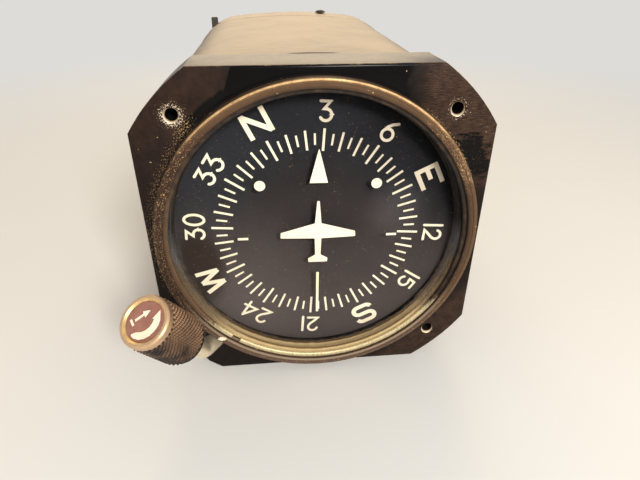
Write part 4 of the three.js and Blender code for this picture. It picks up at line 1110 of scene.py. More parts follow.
def joined(name: str, shells: Iterable[Union[Shell, Mesh]], place: Matrix, merge: float) -> Mesh:
    """Makes one mesh of several closed bodies, with its faces outwards.

    Args:
        name: The mesh's name.
        shells: The bodies.
        place: The matrix that they are taken through.
        merge: Points closer than this become one.

    Returns:
        The mesh.
    """
    build = bmesh.new()
    for shell in shells:
        if isinstance(shell, Shell):
            made = [build.verts.new(place @ Vector(p)) for p in shell.points]
            for indices in shell.faces:
                build.faces.new([made[i] for i in indices])
        else:
            count = len(build.verts)
            build.from_mesh(shell)
            build.verts.ensure_lookup_table()
            for vert in build.verts[count:]:
                vert.co = place @ vert.co
    bmesh.ops.remove_doubles(build, verts=build.verts, dist=merge)
    bmesh.ops.recalc_face_normals(build, faces=build.faces)
    mesh = bpy.data.meshes.new(name)
    build.to_mesh(mesh)
    build.free()
    return mesh


def piece(name: str, shells: Iterable[Union[Shell, Mesh]], place: Matrix, body: str, finish: Material,
          stands_for: Sequence[str] = (), smooth: float = 32.0) -> None:
    """Makes a finished piece of the part and puts it on its body.

    Args:
        name: The piece's name.
        shells: Its closed bodies, or meshes, in their own axes and in millimetres.
        place: The matrix from those axes to the working axes.
        body: The CAD body that it moves with.
        finish: Its material.
        stands_for: CAD nodes that it takes the place of.
        smooth: Edges sharper than this angle, in degrees, stay sharp.
    """
    mesh = joined(name, shells, TO_ROW @ place, MERGE_IN_ROW)
    mesh.materials.clear()
    mesh.materials.append(finish)
    mesh.shade_smooth()
    mesh.set_sharp_from_angle(angle=math.radians(smooth))
    made = placed(name, mesh)
    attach(made, body)
    if stands_for:
        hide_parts(*stands_for)
    LOG.info("%s: %d faces, on %s", name, len(mesh.polygons), body)


def evaluated(made: Object) -> Mesh:
    """Returns an object's mesh with its modifiers run."""
    depsgraph = bpy.context.evaluated_depsgraph_get()
    return bpy.data.meshes.new_from_object(made.evaluated_get(depsgraph))


class Repeat(Graph):
    """A Geometry Nodes tree with named sizes, that ends in Realize Instances and Set Material."""

    def __init__(self, name: str, sizes: dict[str, float], finish: Material) -> None:
        """Starts a tree.

        Args:
            name: The tree's name.
            sizes: The inputs' names and values. Whole numbers become integer inputs.
            finish: The material that the tree sets.
        """
        super().__init__(bpy.data.node_groups.new(name, "GeometryNodeTree"))
        face = self.tree.interface
        face.new_socket(name="Geometry", in_out="INPUT", socket_type="NodeSocketGeometry")
        self.ids: dict[str, str] = {}
        for label, size in sizes.items():
            kind = "NodeSocketInt" if isinstance(size, int) else "NodeSocketFloat"
            self.ids[label] = face.new_socket(name=label, in_out="INPUT", socket_type=kind).identifier
        face.new_socket(name="Geometry", in_out="OUTPUT", socket_type="NodeSocketGeometry")
        self.entry = self.tree.nodes.new("NodeGroupInput")
        self.sizes = sizes
        self.finish = finish

    def size(self, label: str) -> Value:
        """Returns a named input."""
        return Value(self, self.entry.outputs[label])

    def index(self) -> Value:
        """Returns the points' index."""
        return self.value("GeometryNodeInputIndex")

    def instances(self, points: Value, instance: Value, rotation: Value) -> Value:
        """Puts an instance on each point, turned by its rotation."""
        return self.value("GeometryNodeInstanceOnPoints", None,
                          {"Points": points, "Instance": instance, "Rotation": rotation})

    def array(self, count: Value, instance: Value, place: Value, turn: Value) -> Value:
        """Makes a number of instances.

        Args:
            count: How many.
            instance: What is repeated.
            place: The place of each, as a function of its index.
            turn: The Euler rotation of each.

        Returns:
            The instances.
        """
        row = self.value("GeometryNodeMeshLine", None, {"Count": count, "Offset": (0.0, 0.0, 0.0)})
        points = self.value("GeometryNodeSetPosition", None, {"Geometry": row, "Position": place})
        return self.instances(points, instance, self.value("FunctionNodeEulerToRotation", None, {0: turn}))

    def moved(self, geometry: Value, how: dict) -> Value:
        """Returns a geometry moved or scaled, by the named inputs of a Transform node."""
        return self.value("GeometryNodeTransform", None, {"Geometry": geometry, **how})

    def block(self, size: Value) -> Value:
        """Returns a block about the origin."""
        return self.value("GeometryNodeMeshCube", None, {"Size": size})

    def mesh(self, geometry: Value, source: Optional[Mesh] = None) -> Mesh:
        """Ends the tree, runs it on an object of its own and returns the plain mesh.

        Args:
            geometry: What the tree has made.
            source: The mesh that the tree starts from, or none.

        Returns:
            The result as a mesh, in millimetres.
        """
        real = self.value("GeometryNodeRealizeInstances", None, {"Geometry": geometry})
        painted = self.value("GeometryNodeSetMaterial", None, {"Geometry": real, "Material": self.finish})
        self.node("NodeGroupOutput", None, {0: painted})
        carrier = placed(self.tree.name, source or bpy.data.meshes.new(self.tree.name))
        modifier = carrier.modifiers.new(self.tree.name, "NODES")
        modifier.node_group = self.tree
        for label, size in self.sizes.items():
            modifier[self.ids[label]] = size
        result = evaluated(carrier)
        carrier.modifiers.clear()
        bpy.data.objects.remove(carrier)
        return result


# Repeats

POINT_TIP = 0.16


def tick_ring(name: str, finish: Material, count: int, start: float, step: float, skip: float,
              inner: float, outer: float, width: float, rise: float) -> Mesh:
    """Makes a ring of painted ticks.

    Args:
        name: The tree's name.
        finish: The paint.
        count: How many ticks.
        start: Angle of the first, clockwise from the top, in degrees.
        step: Angle from one tick to the next.
        skip: Angle that is left out after each pair.
        inner: Radius of the ticks' inner ends.
        outer: Radius of their outer ends.
        width: Width of a tick.
        rise: Height of its face over the card.

    Returns:
        The ticks, in millimetres.
    """
    g = Repeat(name, {"Count": count, "Start": start, "Step": step, "Skip": skip, "Inner": inner,
                      "Outer": outer, "Width": width, "Rise": rise}, finish)
    index = g.index()
    pair = g.math("FLOOR", index / 2)
    angle = (g.size("Start") + g.size("Step") * index + g.size("Skip") * pair) * math.radians(1.0)
    middle = (g.size("Inner") + g.size("Outer")) / 2
    place = g.join(g.math("SINE", angle) * middle, g.math("COSINE", angle) * middle, g.size("Rise") / 2)
    tick = g.block(g.join(g.size("Width"), g.size("Outer") - g.size("Inner"), g.size("Rise")))
    return g.mesh(g.array(g.size("Count"), tick, place, g.join(0.0, 0.0, angle * -1.0)))


def diamond_knurl(finish: Material, rows: int, around: int, low: float, high: float,
                  low_radius: float, high_radius: float, half: float, rise: float) -> Mesh:
    """Makes the staggered points of a diamond knurl round a tapered knob.

    Args:
        finish: The knob's metal.
        rows: Rows of points along the knob.
        around: Points in a row.
        low: Height of the first row.
        high: Height of the last.
        low_radius: Radius at the first row.
        high_radius: Radius at the last.
        half: Half the width of a point's foot.
        rise: Height of a point.

    Returns:
        The points, in millimetres.
    """
    g = Repeat("diamond_knurl", {"Rows": rows, "Around": around, "Low": low, "High": high,
                                 "Low Radius": low_radius, "High Radius": high_radius, "Half": half,
                                 "Rise": rise}, finish)
    index, count = g.index(), g.size("Around")
    row = g.math("FLOOR", index / count)
    share = row / (g.size("Rows") - 1)
    stagger = g.math("FLOORED_MODULO", row, 2.0) * 0.5
    angle = (g.math("FLOORED_MODULO", index, count) + stagger) * math.tau / count
    radius = g.size("Low Radius") * (1.0 - share) + g.size("High Radius") * share
    height = g.size("Low") * (1.0 - share) + g.size("High") * share
    place = g.join(g.math("COSINE", angle) * radius, g.math("SINE", angle) * radius, height)
    point = g.value("GeometryNodeMeshCone", None, {
        "Vertices": 4, "Radius Bottom": g.size("Half"), "Radius Top": g.size("Half") * POINT_TIP,
        "Depth": g.size("Rise")})
    return g.mesh(g.array(g.size("Rows") * count, point, place, g.join(0.0, math.pi / 2, angle)))


def screw_heads(name: str, finish: Material, seats: Sequence[tuple[Triple, Triple]], radius: float,
                height: float, slot: float) -> Mesh:
    """Puts a domed, slotted screw head on each seat.

    Args:
        name: The tree's name.
        finish: The screws' metal.
        seats: Each head's place and outward direction, in the working axes.
        radius: Radius of a head.
        height: Its height.
        slot: Width of its slot.

    Returns:
        The heads, in millimetres.
    """
    seat = bpy.data.meshes.new(name + "_seats")
    seat.from_pydata([s[0] for s in seats], [], [])
    facing = seat.attributes.new("facing", "FLOAT_VECTOR", "POINT")
    for item, (_, direction) in zip(facing.data, seats):
        item.vector = direction
    g = Repeat(name, {"Radius": radius, "Height": height, "Slot": slot}, finish)
    tall = g.size("Height")
    ball = g.value("GeometryNodeMeshUVSphere", None,
                   {"Segments": 40, "Rings": 24, "Radius": g.size("Radius")})
    dome = g.moved(ball, {"Scale": g.join(1.0, 1.0, tall / g.size("Radius"))})
    wide = g.size("Radius") * 3.0
    below = g.moved(g.block(g.join(wide, wide, wide)), {"Translation": g.join(0.0, 0.0, wide * -0.5 - 0.001)})
    groove = g.moved(g.block(g.join(wide, g.size("Slot"), tall)),
                     {"Translation": g.join(0.0, 0.0, tall * 0.95)})
    head = g.node("GeometryNodeMeshBoolean", {"operation": "DIFFERENCE", "solver": "EXACT"}, {"Mesh 1": dome})
    for cutter in (below, groove):
        g.tree.links.new(cutter.socket, head.inputs["Mesh 2"])
    outwards = g.value("GeometryNodeInputNamedAttribute", {"data_type": "FLOAT_VECTOR"}, {"Name": "facing"})
    rotation = g.value("FunctionNodeAlignRotationToVector", {"axis": "Z"}, {"Vector": outwards})
    seats_in = Value(g, g.entry.outputs[0])
    return g.mesh(g.instances(seats_in, Value(g, head.outputs[0]), rotation), seat)


# Sub-assemblies


def once(finish: Any) -> Any:
    """Returns a field that holds a finish's material, which is built with the palette."""
    return field(default_factory=finish.material)


@dataclass
class Palette:
    """The finishes that the pieces share, each made once."""

    front: Material = once(FrontPaint())
    case: Material = once(CaseFinish())
    cover: Material = once(Matt(
        "cover_enamel", srgb(36, 31, 28), srgb(66, 55, 46), 0.42, grain_scale=5.0, depth=0.3))
    glass: Material = once(DialGlass())
    marks: Material = once(MarkPaint())
    card: Material = once(CardPaint())
    mask: Material = once(Matt(
        "mask_black", srgb(26, 22, 20), srgb(52, 42, 33), 0.6, grain_scale=7.0, depth=0.2, gleam=0.2))
    rubber: Material = once(Matt(
        "gasket_rubber", srgb(20, 19, 19), srgb(44, 42, 41), 0.82, sheen=0.15, grain_scale=8.0, depth=0.3))
    anodised: Material = once(Matt(
        "black_anodising", srgb(28, 27, 27), srgb(52, 50, 49), 0.48, grain_scale=8.0, depth=0.2))
    brass: Material = once(Metal("machined_brass", srgb(222, 182, 106), srgb(142, 104, 56), 0.24, 0.35))
    aged_brass: Material = once(Metal("aged_brass", srgb(190, 148, 92), srgb(92, 66, 42), 0.3, 0.7))
    wire: Material = once(SnapWire())
    steel: Material = once(Metal(
        "ground_steel", srgb(206, 204, 200), srgb(118, 112, 106), 0.2, 0.2, (1.0, 0.3, 1.0)))
    dark_steel: Material = once(Metal("blued_steel", srgb(92, 88, 86), srgb(48, 42, 38), 0.3, 0.5))
    aluminium: Material = once(Metal("cast_aluminium", srgb(208, 204, 198), srgb(142, 136, 128), 0.34, 0.3))
    elbow: Material = once(Metal("worn_plating", srgb(250, 234, 204), srgb(206, 186, 156), 0.4, 0.0))
    insert: Material = once(Matt(
        "insert_enamel", srgb(124, 78, 66), srgb(160, 112, 94), 0.45, grain_scale=4.0, depth=0.35))


@dataclass
class Outline:
    """The case's outline: four slightly crowned sides that run into round corners."""

    half: float = 41.0
    corner: float = 20.0
    crown: float = 200.0
    crown_points: int = 8
    corner_points: int = 20

    def loop(self, inset: float) -> list[Pair]:
        """Returns the outline's points, drawn in by an inset."""
        half = self.half - inset
        corner = self.corner - inset
        crown = self.crown - inset
        b = crown - half
        centre = (math.sqrt(2 * (crown - corner) ** 2 - b * b) - b) / 2
        lean = math.atan2(centre, centre + b)
        points: list[Pair] = []
        for side in range(4):
            turn = side * math.pi / 2
            arcs = [(crown, -b, 0.0, -lean, lean, self.crown_points),
                    (corner, centre, centre, lean, math.pi / 2 - lean, self.corner_points)]
            for radius, cx, cy, start, end, count in arcs:
                for i in range(count):
                    a = start + (end - start) * i / count
                    x = cx + radius * math.cos(a)
                    y = cy + radius * math.sin(a)
                    points.append((x * math.cos(turn) - y * math.sin(turn),
                                   x * math.sin(turn) + y * math.cos(turn)))
        return points

    def shell(self, section: Sequence[Pair]) -> Shell:
        """Runs a closed section of (inset, depth behind the flange's face) round the outline."""
        return skin([[(x, y, -depth) for x, y in self.loop(inset)] for inset, depth in section])


@dataclass
class FrontCasting:
    """The square flange with its ring, three screw holes, spigot and the facet for the knob's shaft."""

    half: float = 41.275
    corner_radius: float = 49.6
    depth: float = 14.0
    edge: float = 0.55
    ring_radius: float = 39.3
    ring_rise: float = 3.4
    bore: float = 37.0
    card_bore: float = 36.6
    card_bore_depth: float = 10.0
    rear_bore: float = 32.0
    hole_offset: float = 31.43
    hole_radius: float = 1.4
    sink_radius: float = 1.7
    sink_depth: float = 0.55
    thread_turns: int = 12
    thread_pitch: float = 0.8
    thread_depth: float = 0.26
    spigot: float = 6.0
    spigot_insets: Pair = (1.7, 3.3)
    bend_height: float = 3.5
    facet_from: float = 30.5
    facet_top: float = 23.5
    shaft_axis: Triple = (0.56, 0.82849, 0.0)
    shaft_bore: float = 2.4

    def outline(self, inset: float) -> list[Pair]:
        """Returns the flange's outline: a square whose corners are turned to an arc."""
        half = self.half - inset
        radius = self.corner_radius - inset
        start = math.acos(half / radius)
        sweep = math.pi / 2 - 2 * start
        steps = 24
        angles = [side * math.pi / 2 + start + sweep * i / steps
                  for side in range(4) for i in range(steps + 1)]
        return [(radius * math.cos(a), radius * math.sin(a)) for a in angles]

    def flange(self) -> Shell:
        """Builds the flange with rounded edges, its screw holes and room for the ring."""
        edge, low = self.edge, -self.depth
        front_turn = [(0.0, 0.0), (0.076, 0.383), (0.293, 0.707), (0.617, 0.924), (1.0, 1.0)]
        back_turn = [(0.0, 0.0), (0.08, 0.3), (0.3, 0.7), (0.62, 0.93), (1.0, 1.0)]
        front = [(self.outline(edge * t), -edge * (1 - u)) for t, u in front_turn]
        back = [(self.outline(edge * t * 0.5), low + edge * 0.5 * (1 - u)) for t, u in back_turn]
        bore = self.hole_radius
        groove = bore + self.thread_depth
        steps = [(bore + 0.3, low), (bore, low + 0.3)]
        for turn in reversed(range(self.thread_turns)):
            depth = -self.sink_depth - 0.15 - self.thread_pitch * turn
            steps += [(bore, depth - self.thread_pitch / 2), (groove, depth - 0.06), (groove, depth + 0.02)]
        steps += [(bore, -self.sink_depth), (self.sink_radius - 0.06, -0.1), (self.sink_radius, -0.04),
                  (self.sink_radius + 0.12, 0.0)]
        holes = []
        for side_x, side_z in HOLE_SIDES:
            at = (side_x * self.hole_offset, side_z * self.hole_offset)
            holes.append([(circle(radius, 48, at), height) for radius, height in steps])
        inner = self.ring_radius - 0.3
        holes.append([(circle(inner, 192), low), (circle(inner, 192), 0.0)])
        return stepped_plate(list(reversed(back)) + front, holes)

    def ring(self) -> Shell:
        """Turns the raised ring with its lip, groove and the stepped bore."""
        top = self.ring_rise
        outer = self.ring_radius
        profile = filleted([
            (outer - 0.05, -self.depth + 0.05, 0), (outer - 0.05, -0.8, 0), (outer + 0.55, -0.3, 0),
            (outer + 0.5, 0.05, 0.1), (outer, 0.55, 0.5), (outer, top, 0.55),
            (outer - 0.95, top, 0.08), (outer - 1.05, top - 0.16, 0.04), (outer - 1.25, top - 0.16, 0.04),
            (outer - 1.35, top - 0.02, 0.08), (self.bore, top - 0.06, 0.4), (self.bore, 2.6, 0.08),
            (self.bore + 0.6, 2.6, 0), (self.bore + 0.6, 1.4, 0), (self.bore, 1.4, 0), (self.bore, -3.2, 0),
            (self.card_bore, -3.2, 0.05), (self.card_bore, -self.card_bore_depth, 0.2),
            (self.rear_bore, -self.card_bore_depth, 0.2), (self.rear_bore, -self.depth + 0.05, 0.2),
        ], 5)
        return lathe(profile, 192)

    def build(self, palette: Palette) -> None:
        """Makes the casting and cuts the facet and the shaft's bore."""
        start, end = self.depth - 0.05, self.depth + self.spigot
        outer, inner = self.spigot_insets
        spigot = filleted([(outer, start, 0), (inner, start, 0), (inner, end, 0.2), (outer, end, 0.4)], 3)
        shells = [self._cut(self.flange()), self.ring(), Outline().shell(spigot)]
        piece("front_bezel_dressed", shells, FRONT, "housing", palette.front,
              ["front_bezel"], 35.0)

    def _cut(self, flange: Shell) -> Mesh:
        """Cuts the facet at the lower left corner and the shaft's bore out of the flange."""
        axis = Vector((self.shaft_axis[0], self.shaft_axis[2], -self.shaft_axis[1])).normalized()
        side = Vector((0.0, 1.0, 0.0))
        across = side.cross(axis).normalized()
        far = self.half * 1.4
        facet = oblong((-far, -far), (far, -self.facet_top))
        point = Vector((-self.facet_from, 0.0, 0.0))
        wedge = skin([[tuple(point + axis * depth + across * wide + side * tall) for wide, tall in facet]
                      for depth in (-far, 0.0)], ring=False)
        keep = plate(circle(self.ring_radius + 0.2, 192), -self.depth - 2, self.ring_rise + 2)
        bend = Vector((-self.hole_offset, -self.hole_offset, self.bend_height))
        bore = skin([[tuple(bend + axis * along + across * x + side * y)
                      for x, y in circle(self.shaft_bore, 40)] for along in (-4.0, 24.0)], ring=False)
        wedge_object = self._solid("facet_cutter", wedge)
        self._boolean(wedge_object, self._solid("ring_keeper", keep))
        body = self._solid("flange_body", flange)
        self._boolean(body, wedge_object)
        self._boolean(body, self._solid("shaft_cutter", bore))
        self._soften(body, axis)
        mesh = body.data
        bpy.data.objects.remove(body)
        return mesh

    @staticmethod
    def _solid(name: str, shell: Shell) -> Object:
        """Makes a working object, in millimetres, from a shell."""
        return placed(name, joined(name, [shell], PLAIN, MERGE_IN_MILLIMETRES))

    @staticmethod
    def _boolean(body: Object, tool: Object) -> None:
        """Takes a tool out of a body and removes the tool."""
        modifier = body.modifiers.new("cut", "BOOLEAN")
        modifier.operation = "DIFFERENCE"
        modifier.solver = "EXACT"
        modifier.object = tool
        mesh = evaluated(body)
        body.modifiers.clear()
        body.data = mesh
        bpy.data.objects.remove(tool)

    @staticmethod
    def _soften(body: Object, axis: Vector, width: float = 0.3) -> None:
        """Rounds the facet's edges where they meet the flange's face and sides."""
        build = bmesh.new()
        build.from_mesh(body.data)
        bmesh.ops.dissolve_limit(build, angle_limit=math.radians(0.5), verts=build.verts, edges=build.edges)
        chosen = []
        for edge in build.edges:
            if len(edge.link_faces) != 2:
                continue
            facing = [abs(face.normal.dot(axis)) > 0.999 for face in edge.link_faces]
            if sum(facing) == 1 and edge.calc_length() > 1.0 and edge.calc_face_angle(0.0) > 0.5:
                chosen.append(edge)
        if chosen:
            bmesh.ops.bevel(build, geom=chosen, offset=width, segments=2, profile=0.5, affect="EDGES",
                            clamp_overlap=True)
        build.to_mesh(body.data)
        build.free()


@dataclass
class Case:
    """The drawn case shell, the cover in its rear end, the fittings, the tag and the screws."""

    wall: float = 1.6
    start: float = 14.0
    end: float = 119.0
    bell: float = 15.0
    bell_step: float = 0.25
    skirt: float = 9.0
    cover_wall: float = 2.2
    screw_radius: float = 2.1
    screw_height: float = 0.9
    screw_slot: float = 0.6

    def shell(self) -> Shell:
        """Builds the case: its outer skin, the bell at the rear, and its inner skin."""
        bell = self.end - self.bell
        section = [(0.25, self.start + 0.02), (0.0, self.start + 0.35), (0.0, bell - 1.0)]
        for i in range(1, 6):
            t = i / 6
            section.append((-self.bell_step * (3 * t * t - 2 * t ** 3), bell - 1.0 + 2.0 * t))
        section += [(-self.bell_step, bell + 1.0), (-self.bell_step, self.end - 0.5)]
        section += [(-self.bell_step + 0.1, self.end - 0.14), (-self.bell_step + 0.4, self.end)]
        section += [(self.wall - 0.3, self.end), (self.wall, self.end - 0.3), (self.wall, self.start + 0.02)]
        return Outline().shell(section)

    def cover(self) -> Shell:
        """Builds the dished cover that closes the case's rear end."""
        inset, end, wall = self.wall + 0.1, self.end, self.cover_wall
        middle = 19.0
        outside = [(inset + wall, end - self.skirt), (inset, end - self.skirt), (inset, end - 0.9),
                   (inset + 0.26, end - 0.26), (inset + 0.9, end), (inset + 3.2, end),
                   (inset + 3.5, end - 0.1), (inset + 3.9, end - 0.5), (inset + 4.2, end - 0.6),
                   (middle, end - 0.6)]
        inside = [(middle, end - wall), (inset + wall + 0.4, end - wall), (inset + wall, end - wall - 0.4)]
        outline = Outline()
        loops = [[(x, y, -depth) for x, y in outline.loop(at)] for at, depth in outside + inside]
        return self._dish(loops, len(outside))

    @staticmethod
    def _dish(loops: list[list[Triple]], outside: int) -> Shell:
        """Joins a dish's loops, of which the first few are its outside, and closes both middles."""
        count = len(loops[0])
        made = skin(loops)
        middle = (outside - 1) * count
        faces = [f for f in made.faces if not (min(f) >= middle and max(f) < middle + 2 * count)]
        faces.append(tuple(range(middle, middle + count)))
        faces.append(tuple(range(middle + 2 * count - 1, middle + count - 1, -1)))
        return Shell(made.points, faces)

    @staticmethod
    def hose_fitting(height: float, end: float) -> list[Shell]:
        """Builds a hexagonal hose fitting with its barbed tail and bore.

        Args:
            height: Its height over the dial's centre.
            end: Depth of the case's rear face.

        Returns:
            The fitting's bodies.
        """
        corner = 6.2
        hexagon = [(corner * math.sin(math.tau * i / 6), corner * math.cos(math.tau * i / 6))
                   for i in range(6)]
        nut = [(0.5, -0.3), (0.93, 0.02), (1.0, 0.45), (1.0, 4.5), (0.9, 5.0), (0.5, 5.0)]
        loops = [[(x * scale, y * scale + height, -end - depth) for x, y in hexagon] for scale, depth in nut]
        bore, neck, barb, root = 2.2, 3.3, 3.75, 3.05
        tail = filleted([
            (bore, 0.4, 0), (neck, 0.4, 0), (neck, 5.6, 0), (barb, 6.3, 0.15), (root, 7.9, 0), (root, 8.1, 0),
            (barb, 8.3, 0.15), (root, 9.9, 0), (root, 10.1, 0), (barb, 10.3, 0.15), (2.9, 13.0, 0.2),
            (bore, 13.0, 0.15),
        ], 3)
        turned = lathe([(radius, -end - depth) for radius, depth in reversed(tail)], 48)
        return [skin(loops), turned.turned(Matrix.Translation((0.0, height, 0.0)))]

    @staticmethod
    def tag() -> Shell:
        """Builds the upright tag at the rear edge, with a small chamfer at its back."""
        low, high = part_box("rear_tag")
        low, high = (low - ORIGIN) / MM, (high - ORIGIN) / MM
        middle = (low + high) / 2
        outline = filleted([(x, y, 0.5) for x, y in oblong((low.x, low.z), (high.x, high.z))], 4)
        chamfer = 0.12
        inner = [(x + math.copysign(chamfer, middle.x - x), y + math.copysign(chamfer, middle.z - y))
                 for x, y in outline]
        return stepped_plate([(inner, -high.y), (outline, -high.y + 0.15), (outline, -low.y)], [])

    def build(self, palette: Palette) -> None:
        """Makes the case's pieces."""
        piece("case_shell_dressed", [self.shell()], FRONT, "housing", palette.case,
              ["case_shell"], 30.0)
        piece("rear_cover_dressed", [self.cover()], FRONT, "housing", palette.cover,
              ["rear_cover"], 30.0)
        for node in ("inlet_fitting", "vacuum_fitting"):
            low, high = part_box(node)
            fitting = self.hose_fitting(((low.z + high.z) / 2 - ORIGIN.z) / MM, self.end)
            piece(node + "_dressed", fitting, FRONT, "housing", palette.brass, [node], 30.0)
        piece("rear_tag_dressed", [self.tag()], FRONT, "housing", palette.cover,
              ["rear_tag"], 30.0)
        self.screws(palette)

    def screws(self, palette: Palette) -> None:
        """Puts domed slotted screws in the case's sides and over the cover's skirt."""
        names = [node for node in frame["nodes"] if node.startswith(("case_screw_", "cover_screw_"))]
        seats = []
        for node in names:
            low, high = [(c - ORIGIN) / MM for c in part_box(node)]
            middle = (low + high) / 2
            if node.endswith("top"):
                seats.append(((middle.x, middle.y, high.z - self.screw_height), (0.0, 0.0, 1.0)))
            elif middle.x < 0:
                seats.append(((low.x + self.screw_height, middle.y, middle.z), (-1.0, 0.0, 0.0)))
            else:
                seats.append(((high.x - self.screw_height, middle.y, middle.z), (1.0, 0.0, 0.0)))
        heads = screw_heads("case_screw_heads", palette.dark_steel, seats, self.screw_radius,
                            self.screw_height, self.screw_slot)
        shanks = []
        for at, direction in seats:
            turn = Vector((0, 0, 1)).rotation_difference(Vector(direction)).to_matrix().to_4x4()
            shank = lathe([(0.0, -3.4), (0.9, -3.4), (1.15, -3.1), (1.15, 0.05), (0.0, 0.05)], 24)
            shanks.append(shank.turned(Matrix.Translation(Vector(at)) @ turn))
        piece("case_screws_dressed", [heads, *shanks], PLAIN, "housing", palette.dark_steel,
              names, 28.0)


@dataclass
class Card:
    """The compass card with its ticks, figures and letters."""

    radius: float = 36.1
    face: float = -4.0
    thickness: float = 0.8
    heading: float = 26.0
    label_radius: float = 30.7
    rise: float = 0.05
    digit_stroke: float = 0.68
    letter_stroke: float = 1.15
    curved_letter_stroke: float = 1.25
    overlap_step: float = 0.004

    @staticmethod
    def lines(sign: str) -> list[list[Pair]]:
        """Returns the centre lines of a figure's or letter's strokes."""
        shapes: dict[str, list[list[Pair]]] = {
            "0": [arc((0, 0), 1.4, 2.45, 90, 180, 16), arc((0, 0), 1.4, 2.45, 270, 180, 16)],
            "1": [[(0, 2.35), (0, -2.55)]],
            "2": [[(-1.25, 1.35), *arc((0.0, 1.05), 1.25, 1.25, 160, -190, 12), (0.75, -0.15), (-0.6, -1.4),
                   (-1.35, -2.25), (1.45, -2.25)]],
            "3": [[(-1.3, 2.1), (0.9, 2.1), (-0.45, 0.35), *arc((0.02, -1.0), 1.35, 1.35, 84, -84, 6),
                   *arc((0.02, -1.0), 1.35, 1.35, 0, -150, 12)]],
            "4": [[(0.87, 2.3), (0.87, -2.6)], [(0.87, 2.3), (-1.75, -1.15), (1.95, -1.15)]],
            "5": [[(1.15, 2.05), (-1.1, 2.05), (-1.3, 0.3), *arc((0, -0.85), 1.4, 1.4, 125, -275, 20)]],
            "6": [arc((0, -1.05), 1.4, 1.4, 60, 180, 13), arc((0, -1.05), 1.4, 1.4, 240, 180, 13),
                  [(-1.25, -0.45), (-0.95, 0.55), (-0.2, 1.6), (0.85, 2.4)]],
            "N": [[(-2.55, -2.6), (-2.55, 3.55)], [(2.55, -2.6), (2.55, 3.55)], [(-2.5, 3.2), (2.5, -2.3)]],
            "E": [[(-2.25, -2.6), (-2.25, 3.55)], [(-2.2, 3.0), (2.85, 3.0)], [(-2.2, 0.54), (0.9, 0.54)],
                  [(-2.2, -2.05), (2.85, -2.05)]],
            "S": [[(2.6, 1.9), *arc((1.2, 1.65), 1.4, 1.3, 25, 65, 5),
                   *arc((-1.2, 1.65), 1.4, 1.3, 90, 180, 10),
                   *arc((1.2, -0.97), 1.4, 1.32, 90, -180, 10), *arc((-1.2, -0.97), 1.4, 1.33, 270, -75, 6)]],
            "W": [[(-3.2, 3.45), (-1.85, -2.5)], [(-1.85, -2.5), (0.0, 3.3)], [(0.0, 3.3), (1.95, -2.5)],
                  [(1.95, -2.5), (3.15, 3.45)]],
        }
        return shapes[sign]

    def label(self, text: str, offsets: Sequence[float], angle: float) -> list[Shell]:
        """Builds one label of the card, with its top outwards.

        Args:
            text: The figures or letter.
            offsets: Where each one's centre is across the label.
            angle: The label's place, clockwise from the top, in degrees.

        Returns:
            Its strokes.
        """
        shells: list[Shell] = []
        turn = Matrix.Rotation(-math.radians(angle), 4, "Z")
        for sign, offset in zip(text, offsets):
            width, end = self.digit_stroke, End.ROUND
            if sign.isalpha():
                width = self.curved_letter_stroke if sign == "S" else self.letter_stroke
                end = End.SQUARE
            for line in self.lines(sign):
                moved = [(x + offset, y + self.label_radius) for x, y in line]
                high = self.face + self.rise + self.overlap_step * len(shells)
                shells.append(stroke(moved, width, self.face - 0.02, high, end).turned(turn))
        return shells

    def build(self, palette: Palette) -> None:
        """Makes the card and its marks, turned to the heading that it shows."""
        rim = filleted([(0.0, self.face - self.thickness, 0), (self.radius, self.face - self.thickness, 0.15),
                        (self.radius, self.face, 0.2), (0.0, self.face, 0)], 4, closed=False)
        piece("compass_card_dressed", [lathe(rim, 160)], FRONT, "card", palette.card,
              ["compass_card"], 30.0)
        turn = Matrix.Rotation(math.radians(self.heading), 4, "Z")
        raised = FRONT @ turn
        lift = Matrix.Translation(Vector((0, 0, self.face - 0.01)))
        rings = [
            tick_ring("thirty_degree_ticks", palette.marks, 12, 0.0, 30.0, 0.0, 21.15, 26.55, 0.58, 0.06),
            tick_ring("ten_degree_ticks", palette.marks, 24, 10.0, 10.0, 10.0, 21.45, 26.2, 0.54, 0.06),
            tick_ring("five_degree_ticks", palette.marks, 36, 5.0, 10.0, 0.0, 22.65, 25.4, 0.47, 0.06),
        ]
        for ring in rings:
            ring.transform(lift)
        shells: list[Union[Shell, Mesh]] = list(rings)
        labels = [("N", (0.0,), 0), ("3", (0.0,), 30), ("6", (0.0,), 60), ("E", (0.0,), 90),
                  ("12", (-2.0, 0.8), 120), ("15", (-2.1, 0.8), 150), ("S", (0.0,), 180),
                  ("21", (-0.92, 1.94), 210), ("24", (-2.4, 2.0), 240), ("W", (0.0,), 270),
                  ("30", (-1.93, 2.16), 300), ("33", (-1.92, 2.2), 330)]
        for text, offsets, angle in labels:
            shells += self.label(text, offsets, angle)
        piece("card_marks", shells, raised, "card", palette.marks, smooth=40.0)


